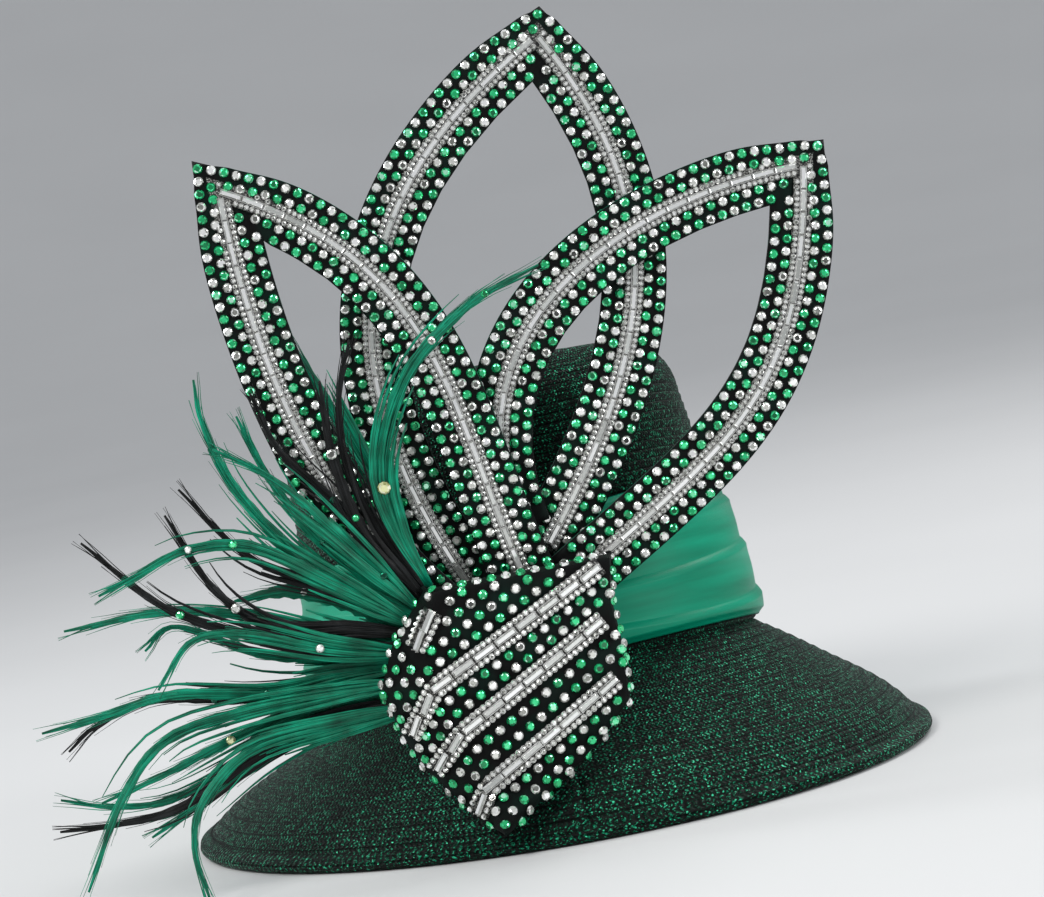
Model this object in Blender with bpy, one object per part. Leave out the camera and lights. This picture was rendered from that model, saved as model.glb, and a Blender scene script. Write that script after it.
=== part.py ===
"""Wide-brim dress hat: sewn straw crown and brim, pleated satin band, a crystal ornament of three
pointed loops over a wrapped knot, and a spray of stripped feathers.

Metres, +Z up. The origin is the centre of the head opening, at the foot of the crown. -Y is the
side that carries the ornament. The rim lies flat in the plane z = -BRIM_DROP.
"""
from math import cos, exp, hypot, pi, radians, sin

import bmesh
import bpy
from mathutils import Matrix, Vector
from mathutils.geometry import interpolate_bezier

# ---- driving dimensions ------------------------------------------------------------------------
HEAD_LENGTH = 0.200        # inside the sweatband, front to back of the wearer
HEAD_WIDTH = 0.168
HEAD_TURN = radians(-40)   # the wearer faces +X turned this much, so the ornament is at the side
CROWN_HEIGHT = 0.142
CROWN_TAPER = 0.006        # how much the crown draws in, each side, from foot to shoulder
SHOULDER = 0.030           # height of the crown's rounded shoulder
SHOULDER_IN = 0.024        # how far the shoulder draws in
CROWN_DOME = 0.006         # how far the top rises above the shoulder
LEAN_BACK = radians(8)     # the crown leans away from the ornament
LEAN_SIDE = radians(3.5)   # and towards the feathers
BRIM_WIDTH = 0.074         # seen from above, from the head opening to the rim
BRIM_DROP = 0.050          # from the foot of the crown to the plane that the rim rests on
BRIM_CURVE = 1.05          # 1 is a straight cone, more starts flatter and turns down further out
BRIM_ROLL = 0.14           # share of the drop that the brim makes in its turned-down edge
ROLL_POWER = 9             # how close to the rim that edge turns down
STRAW = 0.0020             # thickness of the sewn braid
GAP = 0.0003               # clearance between pieces that touch
SEGMENTS = 40

SWEATBAND = 0.0010
SWEATBAND_HEIGHT = 0.030
COLLAR_HEIGHT = 0.012
FOOT = 0.003               # height where the collar's foot has turned out into the brim
WIRE = 0.0016              # diameter of the millinery wire, in the rim and in the loops
WIRE_SIDES = 6
BINDING = 0.0010           # thickness of one fold of the rim's binding
BINDING_WIDTH = 0.0085
BAND_HEIGHT = 0.066
BAND_FOLD = 0.0030         # how far the satin's folds stand out from its edges
BAND_RIPPLE = 0.0008
CREASES = 9                # folds across the band's height
BAND_EDGE = 0.0022         # thickness of the satin band at its edges

LOOP_WIDTH = 0.0270
TRIM_WIDTH = 0.0088
CORE = 0.0024              # thickness of the loops' buckram core
BACKING = 0.0006
STONES = 0.0020            # thickness of netting with its stones on
BAGUETTES = 0.0026         # thickness of a baguette trim
LOOP_STATIONS = 13         # sections along each half of a loop
LOOP_PITCH = 0.0080        # each loop lies this far in front of the one behind it
TIP_BLUNT = 0.50           # share by which the outer stones draw in at a loop's point
TIP_REACH = 0.020          # and how far from the point they start to
PLATE_CLEARANCE = 0.0015   # between the satin band's folds and the felt plate behind the ornament
PLATE = 0.0016

BRIM_CLEARANCE = 0.0030    # between the knot's back and the brim that it hangs over
KNOT_DEPTH = 0.0160        # how far the knot's ridge stands out from its back
LEFT_SHARE = 0.25          # share of that depth which the knot keeps at its left edge
RIGHT_SHARE = 0.45         # and at its right edge
KNOT_COLUMNS = (0.0, 0.5, 1.0, 1.33, 1.66, 2.0)
FACE = 0.0016              # thickness of the knot's netting with its stones
PADDING_GAP = 0.0035       # the netting is stretched over the padded core, clear of its facets
TRIM_LIFT = 0.0027         # the trims bridge the knot's facets this far off its netting
KNOT_TRIM_WIDTH = 0.0080
KNOT_TRIM_STATIONS = 9

STEM_SPREAD = 0.0102       # depth of the bundle of stems between the loops and the knot
STEM_CLEARANCE = 0.0014    # from the frontmost loop to the stems, and from them to the knot
STEM = 0.0009              # thickness of a stripped feather
FEATHER_POINT = 0.0006     # half its width at its tip
FEATHER_STATIONS = 9
HOLDER_WIDTH = 0.0120
HOLDER_HEIGHT = 0.0500
HOLDER_X = -0.0305
HOLDER_Z = 0.0360
HOLDER_ROUND = 0.0015

# Each loop is two smooth curves in the X-Z plane from its point to its foot: point, two handles,
# foot, in millimetres. The first curve is its left side, the second its right.
LOOPS = {
    "centre": ([(49, 280), (-52, 225), (-65, 149), (-19, 51)], [(49, 280), (98, 194), (65, 132), (12, 67)]),
    "right": ([(148, 206), (66, 206), (-14, 165), (3, 78)], [(148, 206), (132, 110), (95, 97), (20, 52)]),
    "left": ([(-93, 241), (-93, 174), (-79, 102), (-36, 50)], [(-93, 241), (-3, 194), (-18, 129), (4, 48)]),
}

# The knot's outline from top to bottom: height, left edge, ridge, right edge, in millimetres.
KNOT = [
    (63, -40, -36, 37),
    (45, -56, -44, 34),
    (26, -65, -45, 35),
    (4, -59, -36, 34),
    (-9, -53, -33, 21),
    (-23, -43, -29, 2),
    (-34, -34, -27, -17),
    (-38, -28, -26, -23),
]
# The knot's trims run across it: left end and right end in the X-Z plane, in millimetres.
KNOT_TRIMS = {
    "upper": [(-57, 6), (-43, 25), (33, 61)],
    "middle": [(-50, -10), (-35, 5), (30, 39)],
    "lower": [(-36, -30), (-29, -19), (31, 14)],
    "short": [(-48, 42), (-38, 56)],
}

# A feather's route in the X-Z plane from its stem to its tip, in millimetres, then how far its
# tip comes forward (+) or goes back (-), its width at the middle, and its colour.
FEATHERS = [
    ([(-38, 64), (-47, 92), (-47, 120), (-30, 153), (0, 176), (31, 187)], 24, 6.0, "green"),
    ([(-40, 62), (-54, 88), (-62, 120), (-60, 148), (-51, 171)], 9, 3.6, "black"),
    ([(-41, 60), (-60, 90), (-67, 125), (-66, 157)], 15, 5.0, "black"),
    ([(-42, 57), (-66, 100), (-88, 130), (-96, 157)], 4, 4.0, "black"),
    ([(-43, 54), (-70, 92), (-92, 120), (-114, 138)], 19, 4.0, "green"),
    ([(-43, 52), (-75, 85), (-95, 119), (-104, 148)], -4, 4.6, "green"),
    ([(-43, 50), (-84, 82), (-108, 117), (-117, 148), (-117, 167)], 11, 4.6, "green"),
    ([(-43, 48), (-80, 72), (-110, 90), (-133, 123)], 1, 3.4, "black"),
    ([(-43, 46), (-78, 74), (-107, 95), (-133, 99), (-154, 93), (-171, 88)], 23, 5.2, "green"),
    ([(-43, 44), (-73, 52), (-101, 57), (-125, 78), (-140, 114)], 7, 4.4, "black"),
    ([(-43, 42), (-70, 62), (-95, 72), (-120, 72)], -6, 9.0, "green"),
    ([(-43, 40), (-77, 44), (-108, 55), (-146, 76), (-175, 110)], 15, 4.6, "black"),
    ([(-43, 38), (-80, 52), (-115, 66), (-150, 74), (-191, 74)], 2, 5.0, "green"),
    ([(-43, 36), (-82, 46), (-116, 60), (-138, 62), (-154, 46)], 27, 4.2, "green"),
    ([(-43, 34), (-78, 40), (-112, 48), (-146, 66), (-161, 58)], -9, 4.2, "green"),
    ([(-43, 32), (-78, 34), (-112, 33), (-152, 40), (-180, 37), (-207, 35)], 10, 5.4, "green"),
    ([(-43, 30), (-78, 30), (-120, 31), (-160, 38), (-186, 32), (-200, 23)], -5, 4.6, "black"),
    ([(-43, 28), (-74, 30), (-100, 22), (-122, 14)], 1, 9.0, "green"),
    ([(-43, 26), (-80, 28), (-125, 28), (-157, 23), (-178, 4), (-198, -30)], 28, 5.0, "green"),
    ([(-43, 24), (-90, 25), (-129, 17), (-160, 8), (-189, 1)], 6, 4.6, "green"),
    ([(-43, 22), (-85, 20), (-125, 7), (-160, -4), (-185, -3), (-207, 4)], -3, 4.4, "green"),
    ([(-43, 20), (-85, 17), (-118, 10), (-156, -6), (-182, -8), (-207, -6)], 14, 5.0, "black"),
    ([(-43, 18), (-75, 17), (-117, 7), (-147, -7), (-172, -18)], 1, 5.0, "green"),
    ([(-43, 16), (-85, 15), (-123, 12), (-146, -4), (-153, -22), (-150, -44)], 26, 4.6, "green"),
]
# The last feather is tucked in behind the left loop.
TUCKED = [(-46, 92), (-62, 136), (-72, 163), (-81, 185)]
TUCKED_WIDTH = 4.6

# The felt plate's outline (x, z), in millimetres.
PLATE_OUTLINE = [(-40, 62), (-30, 70), (22, 70), (30, 60), (28, 30), (-4, 24), (-26, 24), (-42, 34)]

MM = 0.001
FRONT = Vector((0, -1, 0))

# ---- fits between the pieces of the hat body ----------------------------------------------------
LEAN = Matrix.Rotation(-LEAN_BACK, 4, "X") @ Matrix.Rotation(-LEAN_SIDE, 4, "Y")
WALL = CROWN_HEIGHT - SHOULDER                     # height of the crown's upright side
CROWN_SIDE = SWEATBAND + GAP + STRAW               # outside of the crown, off the head opening
COLLAR_INSIDE = CROWN_SIDE + GAP
COLLAR_OUTSIDE = COLLAR_INSIDE + STRAW
BAND_INSIDE = COLLAR_OUTSIDE + GAP
RIM_LOW = BINDING - BRIM_DROP
BRIM_EDGE = BRIM_WIDTH - BINDING - 2 * GAP - WIRE


# ---- materials ---------------------------------------------------------------------------------
def material(name, color, roughness, metallic=0.0):
    made = bpy.data.materials.new(name)
    made.use_nodes = True
    shader = made.node_tree.nodes["Principled BSDF"]
    shader.inputs["Base Color"].default_value = (*color, 1)
    shader.inputs["Roughness"].default_value = roughness
    shader.inputs["Metallic"].default_value = metallic
    return made


def add(name, bm, finish, smooth=None):
    """Make an object of a finished bmesh, smooth below the angle given."""
    bmesh.ops.recalc_face_normals(bm, faces=bm.faces)
    if bm.calc_volume(signed=True) < 0:
        bmesh.ops.reverse_faces(bm, faces=bm.faces)
    mesh = bpy.data.meshes.new(name)
    bm.to_mesh(mesh)
    bm.free()
    if smooth is not None:
        mesh.shade_smooth()
        mesh.set_sharp_from_angle(angle=radians(smooth))
    mesh.materials.append(finish)
    made = bpy.data.objects.new(name, mesh)
    bpy.context.collection.objects.link(made)
    return made


def skin(rings, closed, caps):
    """A bmesh of equal rings of points, joined in order. caps closes the first and last ring."""
    bm = bmesh.new()
    loops = [[bm.verts.new(p) for p in ring] for ring in rings]
    pairs = list(zip(loops, loops[1:]))
    if closed:
        pairs.append((loops[-1], loops[0]))
    for low, high in pairs:
        for k in range(len(low)):
            j = (k + 1) % len(low)
            bm.faces.new((low[k], low[j], high[j], high[k]))
    if caps:
        bm.faces.new(loops[0])
        bm.faces.new(reversed(loops[-1]))
    return bm


# ---- hat body ----------------------------------------------------------------------------------
def oval(offset, z, share=1.0):
    """Points of an oval set off from the head opening, wearer's front along +X turned."""
    turn = Matrix.Rotation(HEAD_TURN, 4, "Z")
    ring = []
    for k in range(SEGMENTS):
        t = 2 * pi * k / SEGMENTS
        x = (HEAD_LENGTH / 2 + offset) * share * cos(t)
        y = (HEAD_WIDTH / 2 + offset) * share * sin(t)
        ring.append(turn @ Vector((x, y, z)))
    return ring


def leaned(ring):
    return [LEAN @ p for p in ring]


def taper(z):
    """How far the crown's side has drawn in at a height."""
    return CROWN_TAPER * z / WALL


def fan_closed(rings):
    """Rings that end on two poles, outer pole first, for a shell that is closed at the top."""
    bm = bmesh.new()
    loops = [[bm.verts.new(p) for p in ring] for ring in rings]
    for low, high in zip(loops, loops[1:]):
        for k in range(SEGMENTS):
            j = (k + 1) % SEGMENTS
            bm.faces.new((low[k], low[j], high[j], high[k]))
    for ring in (loops[0], loops[-1]):
        middle = sum((v.co for v in ring), Vector()) / SEGMENTS
        pole = bm.verts.new(middle)
        for k in range(SEGMENTS):
            bm.faces.new((ring[k], ring[(k + 1) % SEGMENTS], pole))
    return bm


def crown_half(offset, top, foot):
    """The crown's section from near its pole down to its foot, for its outer or inner face."""
    wall = top - SHOULDER
    side = offset - CROWN_TAPER
    rings = [oval(side, top, 0.35), oval(side, top - CROWN_DOME / 2, 0.70)]
    for step in range(4):
        t = (pi / 2) * (step + 0.35) / 3.35
        rings.append(oval(side - SHOULDER_IN * (1 - sin(t)), wall + (SHOULDER - CROWN_DOME) * cos(t)))
    rings.append(oval(offset - CROWN_TAPER / 2, wall / 2))
    rings.append(oval(offset, foot))
    return [leaned(ring) for ring in rings]


def build_crown(finish):
    inner = SWEATBAND + GAP
    outside = crown_half(inner + STRAW, CROWN_HEIGHT, 0.0)
    inside = crown_half(inner, CROWN_HEIGHT - STRAW, 0.0)
    return add("crown", fan_closed(outside + inside[::-1]), finish, 40)


def brim_fall(share):
    """Share of the brim's drop that it has made at a share of its width."""
    return (1 - BRIM_ROLL) * share ** BRIM_CURVE + BRIM_ROLL * share ** ROLL_POWER


def brim_ring(share, lift):
    """A ring of the brim's face: share 0 is its inner edge, 1 the start of the flat rim."""
    start = leaned(oval(COLLAR_INSIDE, 0))
    end = oval(BRIM_WIDTH - BINDING_WIDTH, RIM_LOW + GAP)
    ring = []
    for a, b in zip(start, end):
        z = a.z + (b.z - a.z) * brim_fall(share)
        ring.append(Vector((a.x + (b.x - a.x) * share, a.y + (b.y - a.y) * share, z + lift)))
    return ring


def build_brim(finish):
    rings = [leaned(oval(COLLAR_OUTSIDE, COLLAR_HEIGHT)), leaned(oval(COLLAR_OUTSIDE, FOOT))]
    rings += [brim_ring(share, STRAW) for share in (0.16, 0.45, 0.72, 0.88, 1.0)]
    rings.append(oval(BRIM_EDGE, RIM_LOW + GAP + STRAW))
    rings.append(oval(BRIM_EDGE, RIM_LOW + GAP))
    rings += [brim_ring(share, 0) for share in (1.0, 0.88, 0.72, 0.45, 0.16)]
    rings += [brim_ring(0, 0), leaned(oval(COLLAR_INSIDE, COLLAR_HEIGHT))]
    return add("brim", skin(rings, True, False), finish, 40)


def build_rim(wire_finish, straw_finish):
    middle = BRIM_EDGE + GAP + WIRE / 2
    height = RIM_LOW + GAP + STRAW / 2
    rings = []
    for k in range(WIRE_SIDES):
        t = 2 * pi * k / WIRE_SIDES
        rings.append(oval(middle + WIRE / 2 * cos(t), height + WIRE / 2 * sin(t)))
    add("brim_wire", skin(rings, True, False), wire_finish, 80)
    inner = BRIM_WIDTH - BINDING_WIDTH + 2 * GAP
    low, high = -BRIM_DROP, RIM_LOW + 2 * GAP + STRAW + BINDING
    bend = BRIM_WIDTH - BINDING
    section = [
        (inner, low), (BRIM_WIDTH - BINDING / 2, low), (BRIM_WIDTH, low + BINDING),
        (BRIM_WIDTH, high - BINDING), (BRIM_WIDTH - BINDING / 2, high), (inner, high),
        (inner, high - BINDING), (bend, high - BINDING), (bend, RIM_LOW), (inner, RIM_LOW),
    ]
    rings = [oval(offset, z) for offset, z in section]
    add("brim_binding", skin(rings, True, False), straw_finish, 50)


def build_sweatband(finish):
    foot, top = SWEATBAND, SWEATBAND_HEIGHT
    corners = [(0, foot), (SWEATBAND, foot), (SWEATBAND - 2 * taper(top), top), (-2 * taper(top), top)]
    rings = [leaned(oval(offset, z)) for offset, z in corners]
    add("sweatband", skin(rings, True, False), finish, 50)


def build_satin_band(finish):
    """Stands clear of the brim's collar at its foot and draws in to the crown above it."""
    low = FOOT + STRAW + GAP
    high = low + BAND_HEIGHT
    step_at = COLLAR_HEIGHT + STRAW
    above = step_at + 2 * STRAW
    hug = CROWN_SIDE + 2 * GAP
    rings = [leaned(oval(BAND_INSIDE, low)), leaned(oval(BAND_INSIDE, step_at))]
    rings += [leaned(oval(hug - taper(z), z)) for z in (above, (above + high) / 2, high)]
    for step in range(CREASES):
        share = 1 - step / (CREASES - 1)
        draw_in = (BAND_INSIDE - hug + taper(high)) * share
        bulge = BAND_FOLD * max(sin(pi * share ** 0.7), 0.0)
        ripple = BAND_RIPPLE * (-1) ** step
        outer = BAND_INSIDE + BAND_EDGE - draw_in + bulge + ripple
        rings.append(leaned(oval(outer, low + BAND_HEIGHT * share)))
    add("satin_band", skin(rings, True, False), finish, 60)


# ---- how the ornament lies in front of the hat, from the back forwards ---------------------------
def reach(offset):
    """How far an oval reaches towards -Y."""
    return hypot((HEAD_LENGTH / 2 + offset) * sin(HEAD_TURN), (HEAD_WIDTH / 2 + offset) * cos(HEAD_TURN))


PLATE_Y = -reach(BAND_INSIDE + BAND_EDGE + BAND_FOLD + BAND_RIPPLE) - PLATE_CLEARANCE
LOOPS_Y = PLATE_Y - PLATE - GAP
LOOP_DEPTH = BACKING + CORE + BAGUETTES + 2 * GAP
STEMS_BACK = LOOPS_Y - LOOP_PITCH * (len(LOOPS) - 1) - LOOP_DEPTH - STEM_CLEARANCE
STEMS_FRONT = STEMS_BACK - STEM_SPREAD
KNOT_BACK = STEMS_FRONT - STEM_CLEARANCE - STEM


# ---- loops -------------------------------------------------------------------------------------
def side_path(points):
    """A loop's side as closely spaced points (x, z), from its point to its foot."""
    at = [Vector((x * MM, z * MM, 0)) for x, z in points]
    return [p.to_2d() for p in interpolate_bezier(*at, 80)]


def trimmed_edge(path, offset, tip, mitre, side):
    """The path set off sideways, cut where it meets the mitre line at the loop's point, and
    divided into LOOP_STATIONS steps."""
    edge = []
    for k, p in enumerate(path):
        along = (path[min(k + 1, len(path) - 1)] - path[max(k - 1, 0)]).normalized()
        drawn_in = max(offset - TRIM_WIDTH / 2 - GAP, 0.0) * TIP_BLUNT * exp(-((p - tip).length / TIP_REACH) ** 2)
        edge.append(p + Vector((along.y, -along.x)) * (offset - drawn_in) * side)
    normal = Vector((mitre.y, -mitre.x)) * side
    start = edge[0] + (edge[0] - edge[1]).normalized() * LOOP_WIDTH * 2
    edge.insert(0, start)
    while len(edge) > 2 and (edge[1] - tip).dot(normal) < 0:
        edge.pop(0)
    a, b = (edge[0] - tip).dot(normal), (edge[1] - tip).dot(normal)
    edge[0] = edge[0].lerp(edge[1], a / (a - b))
    picked = []
    for step in range(LOOP_STATIONS + 1):
        at = (len(edge) - 1) * step / LOOP_STATIONS
        k = min(int(at), len(edge) - 2)
        picked.append(edge[k].lerp(edge[k + 1], at - k))
    return picked


def even(path, count):
    """count + 1 points at equal steps along a path."""
    lengths = [0.0]
    for a, b in zip(path, path[1:]):
        lengths.append(lengths[-1] + (b - a).length)
    points, k = [], 0
    for step in range(count + 1):
        goal = lengths[-1] * step / count
        while k < len(path) - 2 and lengths[k + 1] < goal:
            k += 1
        share = (goal - lengths[k]) / max(lengths[k + 1] - lengths[k], 1e-12)
        points.append(path[k].lerp(path[k + 1], min(share, 1.0)))
    return points


def loop_strip(name, sides, section, finish, smooth=None):
    """Sweep a section round a loop. The section is a list of (offset, y); a positive offset is
    towards the loop's outside."""
    left, right = (side_path(points) for points in sides)
    tip = left[0]
    mitre = ((left[1] - left[0]).normalized() + (right[1] - right[0]).normalized()).normalized()
    tracks = []
    for offset, y in section:
        first = trimmed_edge(left, offset, tip, mitre, 1)
        second = trimmed_edge(right, offset, tip, mitre, -1)
        tracks.append([Vector((p.x, y, p.y)) for p in first[::-1] + second[1:]])
    rings = [list(ring) for ring in zip(*tracks)]
    return add(name, skin(rings, False, True), finish, smooth)


def build_loop(which, depth, finishes):
    """One loop, from its satin back (at y = depth) to its stones, which face -Y."""
    sides = LOOPS[which]
    half, trim = LOOP_WIDTH / 2, TRIM_WIDTH / 2
    back = depth
    core_back = back - BACKING - GAP
    core_front = core_back - CORE
    face = core_front - GAP
    groove = WIRE / 2 + GAP
    floor = core_back - WIRE - 2 * GAP
    name = "loop_" + which
    loop_strip(name + "_backing", sides, [
        (half, back), (half, back - BACKING), (-half, back - BACKING), (-half, back),
    ], finishes["satin"])
    loop_strip(name + "_core", sides, [
        (half, core_back), (half, core_front), (-half, core_front), (-half, core_back),
        (-groove, core_back), (-groove, floor), (groove, floor), (groove, core_back),
    ], finishes["buckram"])
    middle = core_back - WIRE / 2 - GAP / 2
    loop_strip(name + "_wire", sides, [
        (WIRE / 2 * cos(2 * pi * k / WIRE_SIDES), middle + WIRE / 2 * sin(2 * pi * k / WIRE_SIDES))
        for k in range(WIRE_SIDES)
    ], finishes["wire"], 80)
    for part, inner, outer, thick, finish in (
        ("outer_stones", trim + GAP, half, STONES, "stones"),
        ("baguette_trim", -trim, trim, BAGUETTES, "baguettes"),
        ("inner_stones", -half, -trim - GAP, STONES, "stones"),
    ):
        loop_strip(name + "_" + part, sides, [
            (outer, face), (outer, face - thick), (inner, face - thick), (inner, face),
        ], finishes[finish])


# ---- knot --------------------------------------------------------------------------------------
def knot_edges(z):
    """Left edge, ridge and right edge of the knot at a height."""
    rows = [[value * MM for value in row] for row in KNOT]
    z = max(min(z, rows[0][0]), rows[-1][0])
    for high, low in zip(rows, rows[1:]):
        if z >= low[0]:
            share = (high[0] - z) / (high[0] - low[0])
            return [a + (b - a) * share for a, b in zip(high[1:], low[1:])]
    return rows[-1][1:]


def knot_back(z):
    """Depth of the knot's back: upright behind its top, and further down held off the brim."""
    depth = KNOT_BACK
    for step in range(41):
        nearest = min(brim_ring(step / 40, STRAW + BRIM_CLEARANCE), key=lambda p: p.y)
        if nearest.z > z:
            depth = min(depth, nearest.y - BRIM_CLEARANCE)
    return depth


def knot_depth(x, z):
    """How far the knot's own front stands out from its back: a ridge near the left, from which
    one side turns away to the left and the other, gently rounded, runs to the right."""
    left, ridge, right = knot_edges(z)
    if x < ridge:
        share = (x - left) / max(ridge - left, 1e-6)
        return KNOT_DEPTH * (LEFT_SHARE + (1 - LEFT_SHARE) * max(share, 0.0) ** 0.8)
    share = (x - ridge) / max(right - ridge, 1e-6)
    return KNOT_DEPTH * (1 - (1 - RIGHT_SHARE) * min(share, 1.0) ** 2.2)


def knot_point(column, z, out):
    """A point on the knot's front: column 0 is its left edge, 1 its ridge, 2 its right edge."""
    left, ridge, right = knot_edges(z)
    x = left + (ridge - left) * column if column <= 1 else ridge + (right - ridge) * (column - 1)
    return Vector((x, knot_back(z) - knot_depth(x, z) - out, z))


def knot_shell(name, back, front, finish):
    """A closed layer of the knot between two distances from its own front. A back of None is the
    knot's flat back."""
    heights = [row[0] * MM for row in KNOT]
    rings = []
    for z in heights:
        ring = [knot_point(column, z, front) for column in KNOT_COLUMNS]
        if back is None:
            ring += [Vector((p.x, knot_back(z), p.z)) for p in (ring[-1], ring[0])]
        else:
            ring += [knot_point(column, z, back) for column in reversed(KNOT_COLUMNS)]
        rings.append(ring)
    return add(name, skin(rings, False, True), finish, 35)


def knot_trim(name, route, finish):
    """A trim that follows the knot's face along a route of straight runs."""
    corners = [Vector((x * MM, z * MM)) for x, z in route]
    path = even(corners, KNOT_TRIM_STATIONS)
    out = PADDING_GAP + FACE + TRIM_LIFT
    rings = []
    for k, p in enumerate(path):
        along = (path[min(k + 1, KNOT_TRIM_STATIONS)] - path[max(k - 1, 0)]).normalized()
        across = Vector((-along.y, along.x)) * KNOT_TRIM_WIDTH / 2
        ring = []
        for side, lift in ((1, 0.0), (1, BAGUETTES), (-1, BAGUETTES), (-1, 0.0)):
            at = p + across * side
            depth = max(knot_depth(p.x, p.y), knot_depth(at.x, at.y))
            ring.append(Vector((at.x, knot_back(at.y) - depth - out - lift, at.y)))
        rings.append(ring)
    return add(name, skin(rings, False, True), finish)


def build_plate(finish):
    """The felt plate between the satin band and the feet of the loops."""
    bm = bmesh.new()
    outline = [Vector((x * MM, PLATE_Y, z * MM)) for x, z in PLATE_OUTLINE]
    face = bm.faces.new([bm.verts.new(p) for p in outline])
    thick = bmesh.ops.extrude_face_region(bm, geom=[face])
    moved = [item for item in thick["geom"] if isinstance(item, bmesh.types.BMVert)]
    bmesh.ops.translate(bm, verts=moved, vec=FRONT * PLATE)
    add("felt_plate", bm, finish)


def build_holder(finish):
    """The wrapped block behind the knot: a rounded bar that the stems run into."""
    bm = bmesh.new()
    size = Matrix.Diagonal((HOLDER_WIDTH, STEM_SPREAD + STEM, HOLDER_HEIGHT, 1))
    bmesh.ops.create_cube(bm, size=1.0, matrix=size)
    bmesh.ops.bevel(bm, geom=bm.edges[:], offset=HOLDER_ROUND, segments=2, affect="EDGES", profile=0.5)
    middle = Vector((HOLDER_X, (STEMS_BACK + STEMS_FRONT) / 2, HOLDER_Z))
    bmesh.ops.translate(bm, verts=bm.verts[:], vec=middle)
    add("feather_holder", bm, finish, 40)


# ---- feathers ----------------------------------------------------------------------------------
def smooth_route(points, steps):
    """A smooth line through hand-chosen points, as closely spaced points."""
    at = [Vector(p) for p in points]
    at = [at[0] * 2 - at[1]] + at + [at[-1] * 2 - at[-2]]
    line = []
    for a, b, c, d in zip(at, at[1:], at[2:], at[3:]):
        line += interpolate_bezier(b, b + (c - a) / 6, c - (d - b) / 6, c, 12)[:-1]
    return even(line + [at[-2]], steps)


def feather(name, route, stem_y, tip_y, width, finish):
    """A stripped feather: a flat blade, widest a third of the way along, drawn to a fine tip."""
    path = smooth_route([(x * MM, z * MM, 0) for x, z in route], FEATHER_STATIONS)
    rings = []
    for k, p in enumerate(path):
        share = k / FEATHER_STATIONS
        along = (path[min(k + 1, FEATHER_STATIONS)] - path[max(k - 1, 0)]).normalized()
        across = Vector((-along.y, along.x, 0))
        fullness = sin(pi * (0.04 + 0.96 * share) ** 0.7) ** 0.8
        wide = FEATHER_POINT + (width * MM / 2 - FEATHER_POINT) * fullness
        y = stem_y + (tip_y - stem_y) * share ** 2
        a, b = p + across * wide, p - across * wide
        thick = STEM / 2 * (1 - 0.6 * share)
        rings.append([
            Vector((a.x, y, a.y)), Vector((p.x, y - thick, p.y)),
            Vector((b.x, y, b.y)), Vector((p.x, y + thick, p.y)),
        ])
    return add(name, skin(rings, False, True), finish)


def build_feathers(finishes):
    reaches = [forward for _, forward, _, _ in FEATHERS]
    for k, (route, forward, width, colour) in enumerate(FEATHERS):
        share = (forward - min(reaches)) / (max(reaches) - min(reaches))
        stem = STEMS_BACK + (STEMS_FRONT - STEMS_BACK) * share
        name = f"feather_{k + 1:02d}_{colour}"
        feather(name, route, stem, stem - forward * MM, width, finishes["feather_" + colour])
    front_loop = LOOPS_Y - LOOP_PITCH * (len(LOOPS) - 1)
    tucked = front_loop + (LOOP_PITCH - LOOP_DEPTH) / 2
    feather("feather_25_green", TUCKED, tucked, tucked, TUCKED_WIDTH, finishes["feather_green"])


def build():
    for old in list(bpy.data.objects):
        bpy.data.objects.remove(old, do_unlink=True)
    finishes = {
        "straw": material("straw_braid", (0.012, 0.030, 0.020), 0.45, 0.2),
        "satin": material("emerald_satin", (0.005, 0.36, 0.19), 0.28),
        "grosgrain": material("black_grosgrain", (0.012, 0.012, 0.012), 0.8),
        "buckram": material("black_buckram", (0.02, 0.02, 0.02), 0.9),
        "wire": material("millinery_wire", (0.10, 0.10, 0.10), 0.5, 0.6),
        "stones": material("stones_on_netting", (0.10, 0.28, 0.18), 0.15, 0.3),
        "baguettes": material("baguette_trim", (0.72, 0.74, 0.76), 0.12, 0.6),
        "felt": material("black_felt", (0.01, 0.01, 0.01), 0.95),
        "feather_green": material("green_feather", (0.0, 0.26, 0.14), 0.45),
        "feather_black": material("black_feather", (0.010, 0.010, 0.012), 0.5),
    }
    build_crown(finishes["straw"])
    build_brim(finishes["straw"])
    build_rim(finishes["wire"], finishes["straw"])
    build_sweatband(finishes["grosgrain"])
    build_satin_band(finishes["satin"])
    for k, which in enumerate(LOOPS):
        build_loop(which, LOOPS_Y - LOOP_PITCH * k, finishes)
    build_plate(finishes["felt"])
    build_holder(finishes["felt"])
    knot_shell("knot_core", None, 0.0, finishes["buckram"])
    knot_shell("knot_face", PADDING_GAP, PADDING_GAP + FACE, finishes["stones"])
    for which, route in KNOT_TRIMS.items():
        knot_trim("knot_trim_" + which, route, finishes["baguettes"])
    build_feathers(finishes)


build()
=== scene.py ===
"""The looks of a wide-brim dress hat: straw braid, pleated satin, crystal loops and knot, feathers."""
import random
from math import cos, exp, floor, pi, radians, sin

import bpy
from mathutils import Matrix, Vector
from mathutils.geometry import interpolate_bezier


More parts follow.
